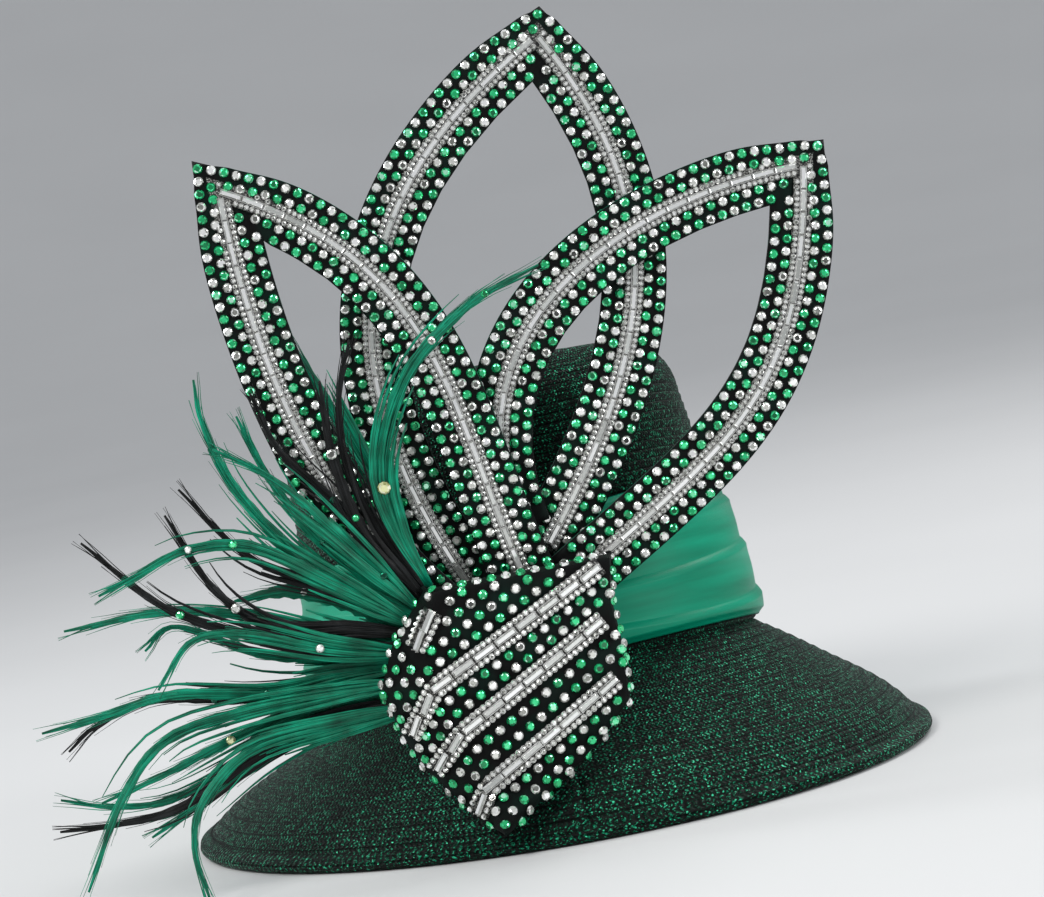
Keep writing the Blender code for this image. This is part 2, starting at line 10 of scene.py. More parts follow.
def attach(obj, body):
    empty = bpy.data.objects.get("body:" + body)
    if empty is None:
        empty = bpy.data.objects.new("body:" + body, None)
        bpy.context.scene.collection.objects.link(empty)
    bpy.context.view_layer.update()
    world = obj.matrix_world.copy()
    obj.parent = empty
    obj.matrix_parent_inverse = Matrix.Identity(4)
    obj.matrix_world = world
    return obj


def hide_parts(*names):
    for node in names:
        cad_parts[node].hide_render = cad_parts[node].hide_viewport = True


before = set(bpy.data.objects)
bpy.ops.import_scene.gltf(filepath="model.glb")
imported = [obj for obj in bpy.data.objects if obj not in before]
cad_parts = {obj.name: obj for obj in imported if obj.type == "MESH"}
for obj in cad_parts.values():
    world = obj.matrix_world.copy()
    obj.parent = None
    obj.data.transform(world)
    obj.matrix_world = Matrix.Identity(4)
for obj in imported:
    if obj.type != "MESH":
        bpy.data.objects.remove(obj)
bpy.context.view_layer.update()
bpy.ops.object.select_all(action="DESELECT")


# ---- crown ---------------------------------------------------------------------------------------
# The crown is black straw-like braid with green metallic threads, machine sewn in overlapping
# rounds from the middle of its top outwards and down, then pressed on a block.
def material(name, **sockets):
    """A material, a function that adds nodes to it, and one that links a node to its shader."""
    made = bpy.data.materials.new(name)
    made.use_nodes = True
    tree = made.node_tree
    shader = tree.nodes["Principled BSDF"]

    def feed(socket, source):
        if isinstance(source, bpy.types.Node):
            source = source.outputs[0]
        if isinstance(source, bpy.types.NodeSocket):
            tree.links.new(source, socket)
        else:
            socket.default_value = source

    def step(kind, *values, **named):
        new = tree.nodes.new("ShaderNode" + kind)
        for key, value in named.items():
            if key[0].islower():
                setattr(new, key, value)
        for key, value in named.items():
            if key[0].isupper():
                feed(new.inputs[key], value)
        for socket, value in zip(new.inputs, values):
            if value is not None:
                feed(socket, value)
        return new

    def join(**links):
        for key, value in links.items():
            feed(shader.inputs[key.replace("_", " ")], value)

    join(**sockets)
    return made, step, join


def ramp(step, source, *stops):
    """A colour ramp over pairs of position and colour."""
    new = step("ValToRGB", source)
    band = new.color_ramp.elements
    while len(band) < len(stops):
        band.new(0.5)
    for element, (position, color) in zip(band, stops):
        element.position = position
        element.color = (*color, 1)
    return new


def straw_braid(name, stitch, lines, pale):
    """Knitted braid. Its pattern has u in millimetres round the hat and v in rounds of braid."""
    made, step, join = material(name, Specular_IOR_Level=0.12)
    uv = step("SeparateXYZ", step("UVMap", uv_map="UVMap"))
    course = step("Math", step("Math", uv.outputs[1], lines, operation="MULTIPLY"), operation="FRACT")
    off = step("Math", step("Math", course, 0.5, operation="SUBTRACT"), operation="ABSOLUTE")
    chain = step("Math", uv.outputs[0], 2 * pi / stitch, operation="MULTIPLY")
    chain = step("Math", step("Math", off, 7.0, chain, operation="MULTIPLY_ADD"), operation="SINE")
    place = step("TexCoord").outputs["Object"]
    grains = step("TexVoronoi", Vector=place, Scale=1450.0)
    pick = step("SeparateColor", grains.outputs["Color"])
    drift = step("TexNoise", Vector=place, Scale=55.0, Detail=4.0)
    level = step("Math", drift, 0.30, pick.outputs[0], operation="MULTIPLY_ADD")
    fleck = step("MapRange", level, 0.70, 0.86)
    # Along the joins between rounds the flecks are left out, so the braid turns dark there. This is a painted
    # shade line in the groove, which the bump also cuts deeper.
    round_at = step("Math", step("Math", uv.outputs[1], operation="FRACT"), 0.5, operation="SUBTRACT")
    seam_and_painted_shade = step("Math", step("Math", step("Math", round_at, operation="ABSOLUTE"), 2.0, operation="MULTIPLY"),
                8.0, operation="POWER")
    crest = step("MapRange", chain, -0.8, 0.3)
    shown = step("Math", fleck, crest, operation="MULTIPLY")
    # This takes the flecks out along the joins: the painted shade line.
    shown = step("Math", shown, step("Math", 1.0, seam_and_painted_shade, operation="SUBTRACT"), operation="MULTIPLY")
    tone = step("TexNoise", Vector=place, Scale=260.0, Detail=3.0)
    dark = ramp(step, tone, (0.35, (0.0005, 0.0012, 0.0009)), (0.7, (0.003, 0.0065, 0.0048)))
    bright = ramp(step, pick.outputs[1],
                  (0.15, (0.0004, 0.018, 0.010)), (0.72, pale), (0.96, (0.05, 0.50, 0.27)))
    join(Base_Color=step("MixRGB", shown, dark, bright))
    join(Metallic=step("Math", shown, 0.55, operation="MULTIPLY"))
    join(Roughness=step("MapRange", shown, 0.0, 1.0, 0.60, 0.28))
    valley = step("Math", step("Math", off, 2.0, operation="MULTIPLY"), 4.0, operation="POWER")
    height = step("Math", chain, 0.35, tone, operation="MULTIPLY_ADD")
    height = step("Math", height, valley, operation="SUBTRACT")
    height = step("Math", height, step("Math", seam_and_painted_shade, 1.6, operation="MULTIPLY"), operation="SUBTRACT")
    join(Normal=step("Bump", Strength=0.9, Distance=0.00045, Height=height))
    return made


def grid(name, across, along, place, scale, finish, thickness=0.0):
    """A grid shaped by a formula, place(u, v) for u and v from 0 to 1, with faces on the side that
    u crossed with v points to. It is thickened inwards, and its pattern is scaled."""
    bpy.ops.mesh.primitive_grid_add(x_subdivisions=across, y_subdivisions=along, size=1)
    made = bpy.context.object
    made.name = name
    made.data.name = name
    for corner in made.data.uv_layers.active.data:
        corner.uv = (corner.uv.x * scale[0], corner.uv.y * scale[1])
    for vertex in made.data.vertices:
        vertex.co = place(vertex.co.x + 0.5, vertex.co.y + 0.5)
    bpy.ops.object.mode_set(mode="EDIT")
    bpy.ops.mesh.select_all(action="SELECT")
    bpy.ops.mesh.remove_doubles(threshold=0.00001)
    bpy.ops.object.mode_set(mode="OBJECT")
    bpy.ops.object.shade_smooth()
    made.data.materials.append(finish)
    if thickness:
        bpy.ops.object.modifier_add(type="SOLIDIFY")
        made.modifiers["Solidify"].thickness = thickness
        made.modifiers["Solidify"].offset = -1
        bpy.ops.object.modifier_apply(modifier="Solidify")
    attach(made, "root")
    bpy.ops.object.select_all(action="DESELECT")
    return made


TURN = Matrix.Rotation(radians(-40), 4, "Z")
LEAN = Matrix.Rotation(radians(-8), 4, "X") @ Matrix.Rotation(radians(-3.5), 4, "Y")
GREEN_GLINT = (0.004, 0.20, 0.10)


HALF_LENGTH, HALF_WIDTH = 0.100, 0.084   # of the head's oval


def oval(offset, turn, z, share=1.0):
    """A point of the head's oval, set off outwards, a share of a full turn round from the knot."""
    t = 2 * pi * turn + radians(-50)
    return TURN @ Vector(((HALF_LENGTH + offset) * share * cos(t), (HALF_WIDTH + offset) * share * sin(t), z))


def shingle(rounds):
    """The rounded edge of one round of braid where it lies on the next: 0 to 1."""
    rest = rounds - floor(rounds)
    return rest / 0.8 if rest < 0.8 else (1 - rest) / 0.2


CROWN_ROUNDS = 56
CROWN_WALL = 0.112       # height of its upright side
SHOULDER = 0.024         # radius of the turn from its side to its top
SHOULDER_END = 0.148     # length of braid path from its foot over the shoulder
CROWN_PATH = 0.224       # and on to the middle of its top
FOOT_OUT, TAPER, DOME = 0.0033, 0.006, 0.006


def crown_at(turn, v):
    path = v * CROWN_PATH
    if path < CROWN_WALL:
        offset, z, share = FOOT_OUT - TAPER * path / CROWN_WALL, path, 1.0
    elif path < SHOULDER_END:
        t = pi / 2 * (1 - (path - CROWN_WALL) / (SHOULDER_END - CROWN_WALL))
        offset, z, share = FOOT_OUT - TAPER - SHOULDER * (1 - sin(t)), CROWN_WALL + SHOULDER * cos(t), 1.0
    else:
        share = 1 - (path - SHOULDER_END) / (CROWN_PATH - SHOULDER_END)
        offset, z = FOOT_OUT - TAPER - SHOULDER, CROWN_WALL + SHOULDER + DOME * (1 - share * share)
    lift = 0.0005 * shingle(v * CROWN_ROUNDS) + 0.0003 * sin(5 * pi * turn + 40 * v)
    if path < CROWN_WALL:
        offset += lift
    else:
        z += lift
    return LEAN @ oval(offset, turn, z, max(share, 0.0))


BRAID = 0.0016           # thickness of the braid
straw = straw_braid("straw_braid", 1.7, 2.0, GREEN_GLINT)
crown = grid("crown_braid", 190, 224, crown_at, (600, CROWN_ROUNDS), straw, BRAID)
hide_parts("crown")


# ---- brim ----------------------------------------------------------------------------------------
# The same braid in wider rounds, sewn outwards from a short collar that the crown's foot is
# stitched into. It turns down, and a little more sharply at its rim.
def brim_at(turn, v):
    share = 1.02 - v * 1.02 / 0.93
    if share < 0:
        return LEAN @ oval(0.0056, turn, 0.0025 - 0.009 * share / 0.0768)
    start, end = LEAN @ oval(0.0036, turn, 0), oval(0.0708, turn, -0.0485)
    spot = start.lerp(end, share)
    spot.z = start.z + (end.z - start.z) * (0.86 * share ** 1.05 + 0.14 * min(share, 1.0) ** 9)
    uneven = 0.00035 * sin(9 * pi * turn + 5 * share) * sin(7 * share)
    spot.z += 0.0017 + 0.0006 * shingle(14 * (1 - share)) + uneven
    return spot


brim_straw = straw_braid("brim_braid", 1.9, 3.0, GREEN_GLINT)
brim = grid("brim_braid", 330, 120, brim_at, (820, 15), brim_straw, BRAID)
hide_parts("brim")


# ---- brim binding --------------------------------------------------------------------------------
# One round of a thicker, rounder braid is folded over the rim and its wire and stitched through.
def binding_at(turn, v):
    t = pi * (v - 0.5) * 1.02
    inward = max(abs(v - 0.5) - 0.28, 0.0) / 0.22
    bead = 0.0004 * abs(sin(pi * 3.5 * v))
    offset = 0.0706 + (0.0028 + bead) * cos(t) - 0.0030 * inward
    climb = 0.0022 * inward if v > 0.5 else 0.0006 * inward
    return oval(offset, turn, -0.0470 + (0.0025 + bead) * sin(t) + climb)


rim_straw = straw_braid("rim_braid", 3.0, 3.5, (0.006, 0.24, 0.12))
binding = grid("rim_binding", 420, 30, binding_at, (1000, 1.0), rim_straw, 0.0008)
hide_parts("brim_binding")


# ---- brim wire and hidden stiffening ---------------------------------------------------------------
# Millinery wire is steel with a tight black cotton wrap. The loops' cores are buckram, an open
# cotton weave stiffened with size. The block that holds the feathers' stems is wool felt.
wire_wrap, step, join = material("wire_wrap", Roughness=0.75, Sheen_Weight=0.2)
turns = step("TexWave", Vector=step("TexCoord").outputs["Object"], Scale=700.0, bands_direction="DIAGONAL")
join(Base_Color=ramp(step, turns, (0.2, (0.006, 0.006, 0.006)), (0.8, (0.045, 0.045, 0.045))))
join(Normal=step("Bump", Strength=0.6, Distance=0.0002, Height=turns))

buckram, step, join = material("buckram", Roughness=0.85)
place = step("TexCoord").outputs["Object"]
warp = step("TexWave", Vector=place, Scale=230.0, bands_direction="X")
weft = step("TexWave", Vector=place, Scale=230.0, bands_direction="Z")
cloth = step("Math", warp, weft, operation="MULTIPLY")
join(Base_Color=ramp(step, cloth, (0.0, (0.004, 0.004, 0.004)), (1.0, (0.035, 0.036, 0.035))))
join(Normal=step("Bump", Strength=0.7, Distance=0.0003, Height=cloth))

felt, step, join = material("felt", Roughness=0.95, Specular_IOR_Level=0.2, Sheen_Weight=0.08)
fuzz = step("TexNoise", Vector=step("TexCoord").outputs["Object"], Scale=900.0, Detail=6.0)
join(Base_Color=ramp(step, fuzz, (0.3, (0.003, 0.003, 0.003)), (0.7, (0.022, 0.022, 0.023))))
join(Normal=step("Bump", Strength=0.8, Distance=0.0004, Height=fuzz))

for name, finish in (
    ("brim_wire", wire_wrap), ("loop_left_wire", wire_wrap), ("loop_right_wire", wire_wrap),
    ("loop_centre_wire", wire_wrap), ("loop_left_core", buckram), ("loop_right_core", buckram),
    ("loop_centre_core", buckram), ("knot_core", buckram), ("feather_holder", felt),
):
    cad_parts[name].material_slots[0].material = finish


# ---- sweatband -----------------------------------------------------------------------------------
# A ribbed grosgrain ribbon is stitched inside the foot of the crown, where it touches the head.
def sweatband_at(turn, v):
    return LEAN @ oval(0.0006 - 0.0036 * v + 0.00004 * sin(600 * pi * turn), 1 - turn, 0.001 + 0.029 * v)


grosgrain, step, join = material("grosgrain", Roughness=0.7, Sheen_Weight=0.3)
uv = step("SeparateXYZ", step("UVMap", uv_map="UVMap"))
rib = step("Math", step("Math", uv.outputs[0], 2 * pi / 0.9, operation="MULTIPLY"), operation="SINE")
seam_and_painted_shade = step("Math", step("Math", uv.outputs[1], 2.0, operation="SUBTRACT"), operation="ABSOLUTE")
thread = step("Math", seam_and_painted_shade, 0.35, operation="LESS_THAN")
black = ramp(step, step("MapRange", rib, -1.0, 1.0),
             (0.0, (0.004, 0.004, 0.004)), (1.0, (0.028, 0.028, 0.030)))
join(Base_Color=step("MixRGB", thread, black, (0.05, 0.055, 0.05, 1)))
join(Normal=step("Bump", Strength=0.6, Distance=0.0002, Height=rib))
sweatband = grid("sweatband_ribbon", 500, 10, sweatband_at, (580, 29), grosgrain, 0.0007)
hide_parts("sweatband")


# ---- satin band ----------------------------------------------------------------------------------
# A bias strip of emerald satin is pleated and drawn round the foot of the crown. Its folds gather
# behind the knot and fan out away from it, and its edges are turned under.
SATIN_FOOT = 0.0034      # above the crown's foot
SATIN_TALL = 0.0679
DRAWN_IN = 0.006         # how much less tall it is behind the knot
FOLDS = 3.4
FOLD_DEEP = 0.0042


def satin_at(turn, v):
    near = exp(-(min(turn, 1 - turn) / 0.13) ** 2)
    high = SATIN_FOOT + (SATIN_TALL - DRAWN_IN * near) * v
    hug = 0.0059 - 0.0018 * v - 0.0038 * v
    bulge = 0.0026 * sin(pi * min(max(v, 0.0), 1.0) ** 0.8)
    way = FOLDS * v + 0.45 * sin(2 * pi * turn + 0.6) + 0.20 * sin(4 * pi * turn + 2.5 * v)
    rest = way - floor(way)
    fold = rest ** 2.0 if rest < 0.84 else 0.706 * ((1 - rest) / 0.16) ** 0.6
    small = 0.0003 * sin(21 * v + 4 * sin(4 * pi * turn)) + 0.0003 * sin(10 * pi * turn + 9 * v)
    edge = min(v, 1 - v, 0.04) / 0.04
    offset = hug + 0.0012 + (bulge + FOLD_DEEP * fold * (0.62 + 0.38 * near) + small) * edge + 0.0012 * edge
    return LEAN @ oval(offset, turn, high)


def satin_finish(name, low, middle, high):
    """Heavy satin: long floats along the strip, fine drawn creases, and a soft, stretched gloss. Its colour
    runs from painted shade in the creases (low) to a painted highlight on their crests (high).
    """
    made, step, join = material(name, Roughness=0.36, Anisotropic=0.45, Specular_IOR_Level=0.22)
    uv = step("UVMap", uv_map="UVMap")
    long = step("Mapping", uv, Scale=(0.010, 0.12, 1.0))
    creases_and_crease_shade = step("TexNoise", Vector=long, Scale=1.0, Detail=4.0, Roughness=0.5)
    parts = step("SeparateXYZ", uv)
    yarn = step("Math", step("Math", parts.outputs[1], 2 * pi / 0.35, operation="MULTIPLY"), operation="SINE")
    cross = step("Math", step("Math", parts.outputs[0], 2 * pi / 0.5, operation="MULTIPLY"), operation="SINE")
    weave = step("Math", yarn, cross, operation="MULTIPLY")
    # The colour follows the creases: painted shade where they sink, painted highlight where they rise.
    join(Base_Color=ramp(step, creases_and_crease_shade, (0.3, low), (0.5, middle), (0.72, high)))
    height = step("Math", weave, 0.06, creases_and_crease_shade, operation="MULTIPLY_ADD")
    join(Normal=step("Bump", Strength=0.35, Distance=0.0008, Height=height))
    return made


satin = satin_finish("emerald_satin", (0.0, 0.19, 0.105), (0.0, 0.275, 0.155), (0.001, 0.36, 0.21))
band = grid("satin_pleats", 260, 130, satin_at, (640, 66), satin, 0.0008)
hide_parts("satin_band")


# ---- crystals ------------------------------------------------------------------------------------
# Round stones are flat-backed, foiled and cut with a table and two rows of facets. Baguettes are
# long step-cut stones in silver channels with a claw at each corner; small stones sit in cups.
def template(finish):
    """Take the active object apart into its points, its faces and each face's finish."""
    made = bpy.context.object
    points = [v.co.copy() for v in made.data.vertices]
    faces = [tuple(f.vertices) for f in made.data.polygons]
    bpy.data.objects.remove(made, do_unlink=True)
    return points, faces, [finish] * len(faces)


def together(*templates):
    points, faces, finishes = [], [], []
    for more_points, more_faces, more_finishes in templates:
        faces += [tuple(k + len(points) for k in face) for face in more_faces]
        points += more_points
        finishes += more_finishes
    return points, faces, finishes


def cut_stone(radius, height, sides, low, finish):
    """A round stone, its flat back at z = low."""
    bpy.ops.mesh.primitive_cone_add(
        vertices=sides, radius1=radius, radius2=radius * 0.62, depth=height * 0.8,
        location=(0, 0, low + height * 0.6))
    bpy.ops.object.transform_apply()
    bpy.ops.object.mode_set(mode="EDIT")
    bpy.ops.mesh.select_mode(type="FACE")
    bpy.ops.mesh.select_all(action="DESELECT")
    bpy.ops.object.mode_set(mode="OBJECT")
    for face in bpy.context.object.data.polygons:
        face.select = abs(face.normal.z) > 0.99
    bpy.ops.object.mode_set(mode="EDIT")
    bpy.ops.mesh.bevel(offset=radius * 0.13, segments=1, affect="EDGES")
    bpy.ops.mesh.select_all(action="DESELECT")
    bpy.ops.object.mode_set(mode="OBJECT")
    return template(finish)


def block(size, at, taper, finish):
    """A box whose top is drawn in by a share."""
    bpy.ops.mesh.primitive_cube_add(size=1, location=at, scale=size)
    bpy.ops.object.transform_apply()
    middle = Vector(at)
    for vertex in bpy.context.object.data.vertices:
        if vertex.co.z > middle.z:
            vertex.co.x = middle.x + (vertex.co.x - middle.x) * (1 - taper * size[1] / size[0])
            vertex.co.y = middle.y + (vertex.co.y - middle.y) * (1 - taper)
    return template(finish)


def cup(radius, height):
    """The silver cup that a small stone sits in."""
    bpy.ops.mesh.primitive_cylinder_add(vertices=8, radius=radius, depth=height, location=(0, 0, height / 2))
    bpy.ops.object.transform_apply()
    return template(3)


def scatter(name, finishes, copies, seed):
    """One mesh of many copies, each a template and a matrix. Every facet gets its own random share of light,
    painted_glint: a painted reflection, as if the foil behind it threw light back."""
    chance = random.Random(seed)
    points, faces, slots, painted_glints = [], [], [], []
    for (shape, cuts, kinds), matrix in copies:
        start = len(points)
        points += [matrix @ p for p in shape]
        faces += [tuple(k + start for k in cut) for cut in cuts]
        slots += kinds
        own = chance.uniform(0.75, 1.1)
        # Each facet gets a random painted reflection, brighter or darker, which the crystal ramps turn into
        # colour.
        painted_glints += [min(own * chance.random() ** 0.75, 1.0) for _ in cuts]
    mesh = bpy.data.meshes.new(name)
    mesh.from_pydata(points, [], faces)
    for finish in finishes:
        mesh.materials.append(finish)
    mesh.polygons.foreach_set("material_index", slots)
    mesh.attributes.new("painted_glint", "FLOAT", "FACE").data.foreach_set("value", painted_glints)
    made = bpy.data.objects.new(name, mesh)
    bpy.context.collection.objects.link(made)
    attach(made, "root")
    return made


def foiled(name, *stops):
    """Cut crystal over foil: facets painted bright and dark by painted_glint, a painted reflection with
    painted highlights up to white, with faint scratches and a hard gloss.
    """
    made, step, join = material(name, Roughness=0.06, Metallic=0.6, Specular_IOR_Level=0.8)
    join(IOR=1.55, Coat_Weight=0.6, Coat_Roughness=0.03)
    painted_glint = step("Attribute", attribute_name="painted_glint").outputs["Fac"]
    fine = step("TexNoise", Vector=step("TexCoord").outputs["Object"], Scale=1500.0, Detail=2.0)
    mixed = step("Math", fine, 0.22, painted_glint, operation="MULTIPLY_ADD")
    join(Base_Color=ramp(step, step("Math", mixed, 0.11, operation="SUBTRACT"), *stops))
    join(Normal=step("Bump", Strength=0.15, Distance=0.00008, Height=fine))
    return made


# The crystal ramps run from dark painted reflections to white painted highlights.
green_stone = foiled("green_crystal", (0.0, (0.0, 0.05, 0.02)), (0.2, (0.0, 0.22, 0.07)),
                     (0.5, (0.004, 0.52, 0.17)), (0.8, (0.04, 0.85, 0.33)), (1.0, (0.6, 1.0, 0.8)))
clear_stone = foiled("clear_crystal", (0.0, (0.03, 0.032, 0.03)), (0.2, (0.24, 0.245, 0.22)),
                     (0.42, (0.72, 0.73, 0.68)), (0.68, (0.98, 0.98, 0.95)), (1.0, (1.0, 1.0, 1.0)))
baguette_glass = foiled("baguette_crystal", (0.0, (0.42, 0.43, 0.41)), (0.3, (0.78, 0.80, 0.77)),
                        (0.62, (0.97, 0.98, 0.97)), (1.0, (1.0, 1.0, 1.0)))
silver, step, join = material("silver_setting", Metallic=1.0)
wear = step("TexNoise", Vector=step("TexCoord").outputs["Object"], Scale=420.0, Detail=5.0)
join(Base_Color=ramp(step, wear, (0.3, (0.42, 0.41, 0.38)), (0.6, (0.93, 0.93, 0.91))))
join(Roughness=step("MapRange", wear, 0.3, 0.7, 0.38, 0.16))
GEMS = [green_stone, clear_stone, baguette_glass, silver]


# ---- crystal loops -------------------------------------------------------------------------------
# Each loop is a pointed strip of satin-backed buckram. On its front lie two strips of netting with
# two rows of round stones each, green and clear in turn, and a baguette trim between them.
MM = 0.001
STRIP_HALF = 0.0135      # half of a loop's strip
STONE_EDGE = 0.0046      # where a netting ends beside the trim
ROW_OUT, ROW_IN = 0.0111, 0.0059
ROUND_PITCH = 0.0053
ROUND_APART = 0.0043     # the least room between two stones' middles
TRIM_HALF = 0.0042
BAGUETTE_PITCH = 0.0096
SMALL_ROW, SMALL_PITCH = 0.0027, 0.0024
NETTING_OUT, TRIM_OUT = 0.0006, 0.0008   # in front of the loop's face
LOOPS = {                # two sides, each a curve from the point to the foot, and the depth of the face
    "centre": (
        [(49, 280), (-52, 225), (-65, 149), (-19, 51)],
        [(49, 280), (98, 194), (65, 132), (12, 67)], 0.1098),
    "right": (
        [(148, 206), (66, 206), (-14, 165), (3, 78)],
        [(148, 206), (132, 110), (95, 97), (20, 52)], 0.1178),
    "left": (
        [(-93, 241), (-93, 174), (-79, 102), (-36, 50)],
        [(-93, 241), (-3, 194), (-18, 129), (4, 48)], 0.1258),
}


def limb(which, side, offset, inset=0.0):
    """One side of a loop from its point to its foot, set off outwards and mitred at the point,
    where the outer corner is cut blunt."""
    curves = [
        [p.to_2d() for p in interpolate_bezier(*[Vector((x * MM, z * MM, 0)) for x, z in points], 160)]
        for points in LOOPS[which][:2]
    ]
    tip = curves[0][0]
    mitre = ((curves[0][1] - tip).normalized() + (curves[1][1] - tip).normalized()).normalized()
    sign = 1 if side == 0 else -1
    path, edge = curves[side], []
    for k, p in enumerate(path):
        along = (path[min(k + 1, 159)] - path[max(k - 1, 0)]).normalized()
        drawn_in = 0.0030 * exp(-((p - tip).length / 0.018) ** 2) if offset > TRIM_HALF else 0.0
        edge.append(p + Vector((along.y, -along.x)) * (offset - drawn_in) * sign)
    normal = Vector((mitre.y, -mitre.x)) * sign
    edge.insert(0, edge[0] + (edge[0] - edge[1]).normalized() * 0.054)
    while len(edge) > 2 and (edge[1] - tip).dot(normal) < 0:
        edge.pop(0)
    a, b = (edge[0] - tip).dot(normal), (edge[1] - tip).dot(normal)
    edge[0] = edge[0].lerp(edge[1], a / (a - b))
    along = (path[1] - path[0]).normalized()
    limit = 0.0078 / abs(along.x * mitre.y - along.y * mitre.x) - inset
    for k, p in enumerate(edge):
        beyond = -(p - tip).dot(mitre) - limit
        if beyond > 0:
            edge[k] = p + mitre * beyond
    return edge


def measured(path):
    """The path's length, and a function for the point and direction at a distance along it."""
    reach = [0.0]
    for a, b in zip(path, path[1:]):
        reach.append(reach[-1] + (b - a).length)

    def at(distance):
        k = 0
        while k < len(path) - 2 and reach[k + 1] < distance:
            k += 1
        share = (distance - reach[k]) / max(reach[k + 1] - reach[k], 1e-9)
        return path[k].lerp(path[k + 1], share), (path[k + 1] - path[k]).normalized()
    return reach[-1], at


def loop_ribbon(name, which, outer, inner, depth, thickness, finish):
    """A flat strip round a loop, from its left foot over its point to its right foot."""
    tracks = []
    for share in (0.0, 0.25, 0.5, 0.75, 1.0):
        offset = outer + (inner - outer) * share
        whole = []
        for side in (0, 1):
            length, at = measured(limb(which, side, offset))
            half = [at(length * k / 90)[0] for k in range(91)]
            whole += half[::-1] if side == 0 else half[1:]
        tracks.append(whole)

    def place(u, v):
        spot = tracks[round(u * 4)][round(v * 180)]
        return Vector((spot.x, -depth, spot.y))
    return grid(name, 4, 180, place, (1000 * (outer - inner), 480), finish, thickness)


def facing_front(spot, along, depth):
    """A stone's place on a loop: its own +Z points to -Y, its +X along the strip."""
    x = Vector((along.x, 0, along.y))
    z = Vector((0, -1, 0))
    y = z.cross(x)
    return Matrix(((x.x, y.x, z.x, spot.x), (x.y, y.y, z.y, -depth), (x.z, y.z, z.z, spot.y), (0, 0, 0, 1)))


netting, step, join = material("stone_netting", Roughness=0.6, Specular_IOR_Level=0.15)
uv = step("SeparateXYZ", step("UVMap", uv_map="UVMap"))
lean = step("Math", uv.outputs[0], uv.outputs[1], operation="ADD")
back = step("Math", uv.outputs[0], uv.outputs[1], operation="SUBTRACT")
knots = [
    step("Math", step("Math", way, pi / 0.7, operation="MULTIPLY"), operation="SINE") for way in (lean, back)
]
cells = step("Math", step("Math", knots[0], knots[1], operation="MULTIPLY"), operation="ABSOLUTE")
ground = step("TexNoise", Vector=step("TexCoord").outputs["Object"], Scale=70.0, Detail=3.0)
under = ramp(step, ground, (0.45, (0.001, 0.0015, 0.0015)), (0.62, (0.0, 0.020, 0.013)))
hole = step("MapRange", cells, 0.25, 0.6)
join(Base_Color=step("MixRGB", hole, (0.0012, 0.0012, 0.0012, 1), under))
join(Normal=step("Bump", Strength=0.8, Distance=0.0003, Height=step("Math", 1.0, hole, operation="SUBTRACT")))

trim_mesh, step, join = material("trim_mesh", Metallic=0.8, Roughness=0.35)
grain = step("TexVoronoi", Vector=step("TexCoord").outputs["Object"], Scale=1300.0)
join(Base_Color=ramp(step, grain, (0.15, (0.30, 0.30, 0.28)), (0.6, (0.03, 0.03, 0.03))))
join(Normal=step("Bump", Strength=0.8, Distance=0.0003, Height=grain, invert=True))

loop_round = {kind: cut_stone(0.00225, 0.0014, 10, 0.0, kind) for kind in (0, 1)}
small_stone = together(cut_stone(0.00104, 0.0011, 8, 0.0007, 1), cup(0.00115, 0.0009))


def baguette(length, width):
    claws = [
        block((0.0006, 0.0005, 0.0017), (end * (length / 2 - 0.0001), side * width / 2, 0.0008), 0.3, 3)
        for end in (-1, 1) for side in (-1, 1)
    ]
    stone = block((length - 0.0004, width, 0.0008), (0, 0, 0.0011), 0.42, 2)
    body = block((length - 0.0004, width, 0.0007), (0, 0, 0.00036), 0.0, 2)
    tray = block((length, width + 0.0005, 0.0007), (0, 0, 0.0002), 0.0, 3)
    return together(stone, body, tray, *claws)


